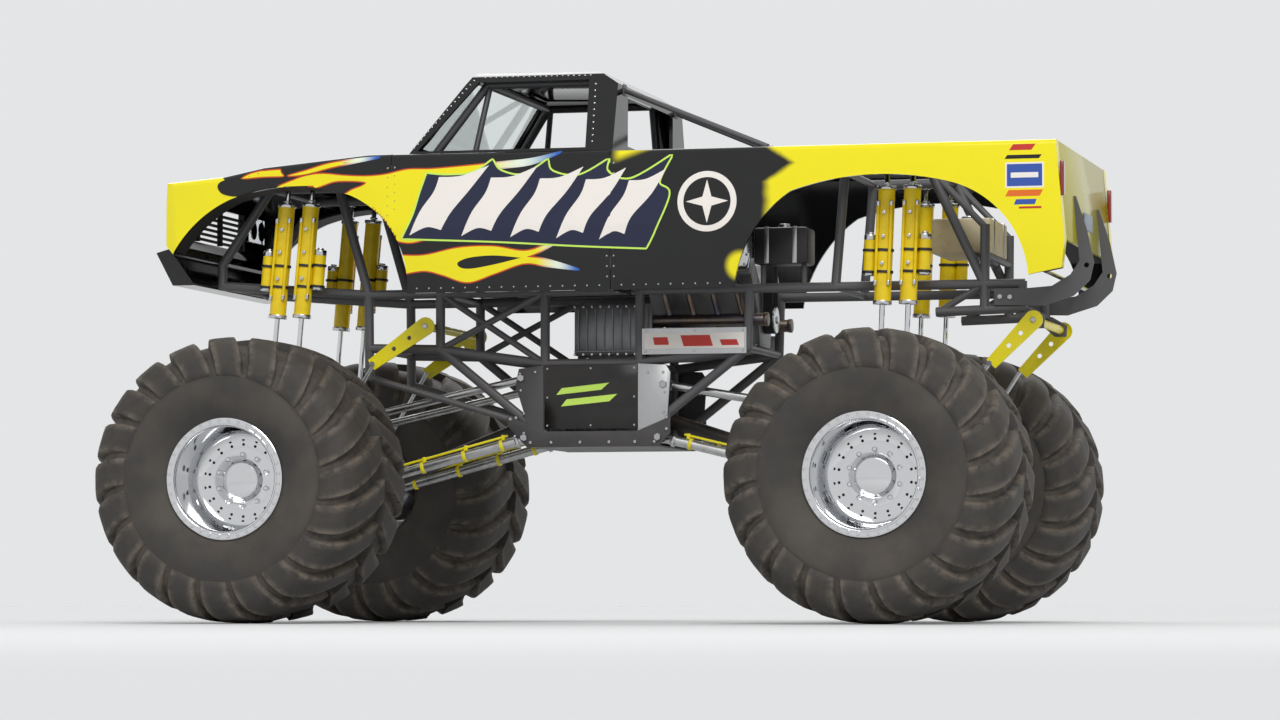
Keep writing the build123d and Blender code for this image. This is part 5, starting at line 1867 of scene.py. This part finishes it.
@dataclass
class Cockpit:
    """The padded seat with its harness, and the dials on the dash."""

    seat_z: float = 2088.4
    # Corners over the seat's underside, and the radius of the edges: cushion, back, headrest
    middle: Rows = (
        (20, -190, 0, 335, 190, 105, 0.035), (-55, -190, 90, 40, 190, 640, 0.032),
        (-40, -120, 640, 15, 120, 800, 0.024),
    )
    # The same on the left: thigh, rib and head wings
    wings: Rows = (
        (-20, 238, 10, 330, 180, 165, 0.024), (-60, 238, 120, 60, 180, 600, 0.024),
        (-70, 220, 590, 10, 150, 760, 0.022),
    )
    straps: Rows = (
        (41, -94, 130, 46, -46, 620), (45, -94, 106, 200, -46, 111), (41, 46, 130, 46, 94, 620),
        (45, 46, 106, 200, 94, 111), (60, -170, 108, 108, 170, 114),
    )
    # Y and radius of each dial
    dials: tuple[Spot, ...] = (
        (-330, 0.034), (-210, 0.034), (-90, 0.046), (90, 0.046), (210, 0.034), (330, 0.034),
    )
    dial_at: Spot = (799, 2575)

    def build(self) -> None:
        """Fits the crowned pads, the harness and the dials."""
        right = [(x, -y, z, u, -v, w, crown) for x, y, z, u, v, w, crown in self.wings]
        pads = []
        for *corners, crown in (*self.middle, *right, *self.wings):
            (pad,) = slabs((corners,), crown, 4, self.seat_z)
            pads.append(apply_modifier(pad, "SUBSURF", levels=1, render_levels=1))
        seat = finished(joined("DriverPads", pads), "DriverPads", SEAT_CLOTH, angle=60)
        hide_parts("seat")
        harness = slabs(self.straps, 0.0015, rise=self.seat_z)
        fit("Harness", harness, WEBBING, both=False)
        rims, faces = [], []
        for y, radius in self.dials:
            place = at(self.dial_at[0], y, self.dial_at[1])
            rims += rods(place, -NOSEWARD, ((0, 0.007, radius, 40, 0.002),))
            faces += rods(place, -NOSEWARD, ((0.0065, 0.0085, radius - 0.006, 40, 0.0005),))
        fit("DialRims", rims, MACHINED, both=False)
        fit("DialFaces", faces, WHITE_PAINT, both=False)


@dataclass
class TankDress:
    """Straps and fillers on the fuel cell and the oil tank."""

    cell: tuple[Point, Point] = ((-2350, -300, 2190.3), (-1991, 300, 2400))
    tank: tuple[Point, Point] = ((-1290, 300, 2130), (-960, 520, 2350))
    cell_caps: Rows = ((-0.001, 0.009, 0.070, 48, 0.002), (0.008, 0.034, 0.046, 40, 0.004))
    tank_caps: Rows = ((-0.001, 0.026, 0.034, 40, 0.003),)

    def build(self) -> None:
        """Fits the straps and caps."""
        (x0, y0, z0), (x1, y1, z1) = self.cell
        (u0, v0, w0), (u1, v1, w1) = self.tank
        straps = [(x0 - 3, y - 18, z0 + 12, x1 + 3, y + 18, z1 + 3) for y in (-170, 170)]
        straps += [(x - 14, v0 - 3, w0 + 6, x + 14, v1 + 3, w1 + 3) for x in (u0 + 80, u1 - 80)]
        fit("TankStraps", slabs(straps, 0.0015), BRUSHED, both=False)
        caps = rods(at((x0 + x1) / 2, 0, z1), UP, self.cell_caps)
        caps += rods(at((u0 + u1) / 2, (v0 + v1) / 2, w1), UP, self.tank_caps)
        fit("FillerCaps", caps, MACHINED, both=False)


@dataclass
class GuardBlocks:
    """Plain colour blocks on the engine guards and strokes on the black centre panels."""

    y: float = 469.0
    # Name, finish and slot, the two heights over the plate, and the outlines as X and Z
    layers: tuple[tuple[str, Finish, str, Spot, Strokes], ...] = (
        ("GuardGround", WHITE_PAINT, "plate_silver", (0, 0.6), (
            ((-890, 1640), (-890, 1732), (-280, 1732), (-280, 1640)),
        )),
        ("GuardMarks", RED_VINYL, "plate_silver", (0.6, 1.1), (
            ((-700, 1652), (-680, 1718), (-500, 1718), (-520, 1652)),
            ((-860, 1655), (-845, 1690), (-740, 1690), (-755, 1655)),
            ((-430, 1662), (-420, 1708), (-330, 1708), (-340, 1662)),
        )),
        ("PanelStrokes", LIME_PAINT, "plate_black", (0, 0.7), (
            ((270, 1370), (235, 1410), (-60, 1440), (-10, 1398)),
            ((240, 1300), (205, 1342), (-110, 1372), (-60, 1328)),
        )),
    )

    def build(self) -> None:
        """Lays the blocks and strokes on both sides."""
        for name, finish, slot, (low, high), outlines in self.layers:
            plates = [prism(outline, (self.y + low, self.y + high)) for outline in outlines]
            fit(name, plates, finish)


@dataclass
class Studio:
    """A pale floor, soft lamps and the camera at the photograph's angle."""

    azimuth: float = 194.3
    distance: float = 26.87
    eye_z: float = 0.12
    target: Point = (0.0, 0.0, 1.60)
    lens: float = 124.0
    pale: str = "#E4E5E6"
    ambient: float = 0.55

    def floor(self) -> None:
        """The floor, which keeps the truck's shadow."""
        deselect_all()
        bpy.ops.mesh.primitive_plane_add(size=240, location=(0, 0, -0.0005))
        floor = bpy.context.active_object
        floor.name = "Floor"
        floor.data.materials.append(Finish("studio floor", "#D9DADB", 0.85).material())

    def world(self) -> None:
        """Even light from all round, and the pale background for the eye, mirrors and glass."""
        world = bpy.data.worlds.new("studio")
        bpy.context.scene.world = world
        world.use_nodes = True
        tree = world.node_tree
        tree.nodes.clear()
        path = add_node(tree, "LightPath").outputs
        camera, *others = (path[f"Is {kind} Ray"] for kind in ("Camera", "Glossy", "Transmission"))
        seen = Value(tree, camera).most(*others)
        light = add_node(tree, "Background", {0: "#FFFFFF", 1: self.ambient}).outputs[0]
        backdrop = add_node(tree, "Background", {0: self.pale, 1: 1.0}).outputs[0]
        both = add_node(tree, "MixShader", {0: seen, 1: light, 2: backdrop}).outputs[0]
        add_node(tree, "OutputWorld", {0: both})

    def aim(self, thing: Piece, place: Sequence[float]) -> None:
        """Puts a lamp or the camera somewhere and turns it to the truck.

        Args:
            thing: The lamp or camera.
            place: Where it goes, in metres.
        """
        thing.location = place
        look = Vector(self.target) - Vector(place)
        thing.rotation_euler = look.to_track_quat("-Z", "Y").to_euler()

    def light(self, name: str, kind: str, place: Point, energy: float, **settings: object) -> None:
        """A light that looks at the truck.

        Args:
            name: Its name.
            kind: Its type.
            place: Where it hangs, in metres.
            energy: In watts, or in watts a square metre for a sun.
            settings: Its own settings.
        """
        data = bpy.data.lights.new(name, kind)
        data.energy = energy
        for key, value in settings.items():
            setattr(data, key, value)
        self.aim(placed(name, data), place)

    def camera(self) -> None:
        """The camera, level with the photograph's own view of the truck's side."""
        data = bpy.data.cameras.new("camera")
        data.lens, data.sensor_width, data.clip_end = self.lens, 36.0, 400
        turn = math.radians(self.azimuth)
        x, y = math.sin(turn) * self.distance, -math.cos(turn) * self.distance
        camera = placed("camera", data)
        self.aim(camera, (x, y, self.eye_z))
        bpy.context.scene.camera = camera

    def build(self) -> None:
        """Sets up the whole studio: wide suns, so that the floor has one tone, and a soft box."""
        self.floor()
        self.world()
        self.light("key", "SUN", (-5.0, 12.0, 13.0), 1.35, angle=math.radians(30.0))
        self.light("far side", "SUN", (4.0, -13.0, 11.0), 0.9, angle=math.radians(45.0))
        self.light("sheen", "AREA", (-3.0, 12.0, 10.0), 260, shape="SQUARE", size=7.0)
        self.camera()
        bpy.context.scene.view_settings.view_transform = "Standard"


def main() -> None:
    """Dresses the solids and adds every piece."""
    logging.basicConfig(level=logging.INFO, format="%(name)s %(message)s")
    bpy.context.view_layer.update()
    surface = BodySurface(["front_clip", "cab_shell", "bed_shell"])
    brush = Brush(surface)
    for assembly in (
        BareSolids(), Tyres(), Rims(), Flames(brush), SideArt(brush), QuarterStickers(brush),
        ShockDress(), ChassisFasteners(), LinkDress(), EngineDress(), CabStays(),
        BodyTrim(surface), Cockpit(), TankDress(), GuardBlocks(), Studio(),
    ):
        assembly.build()
        log.info("%s built", type(assembly).__name__)


if __name__ == "__main__":
    main()
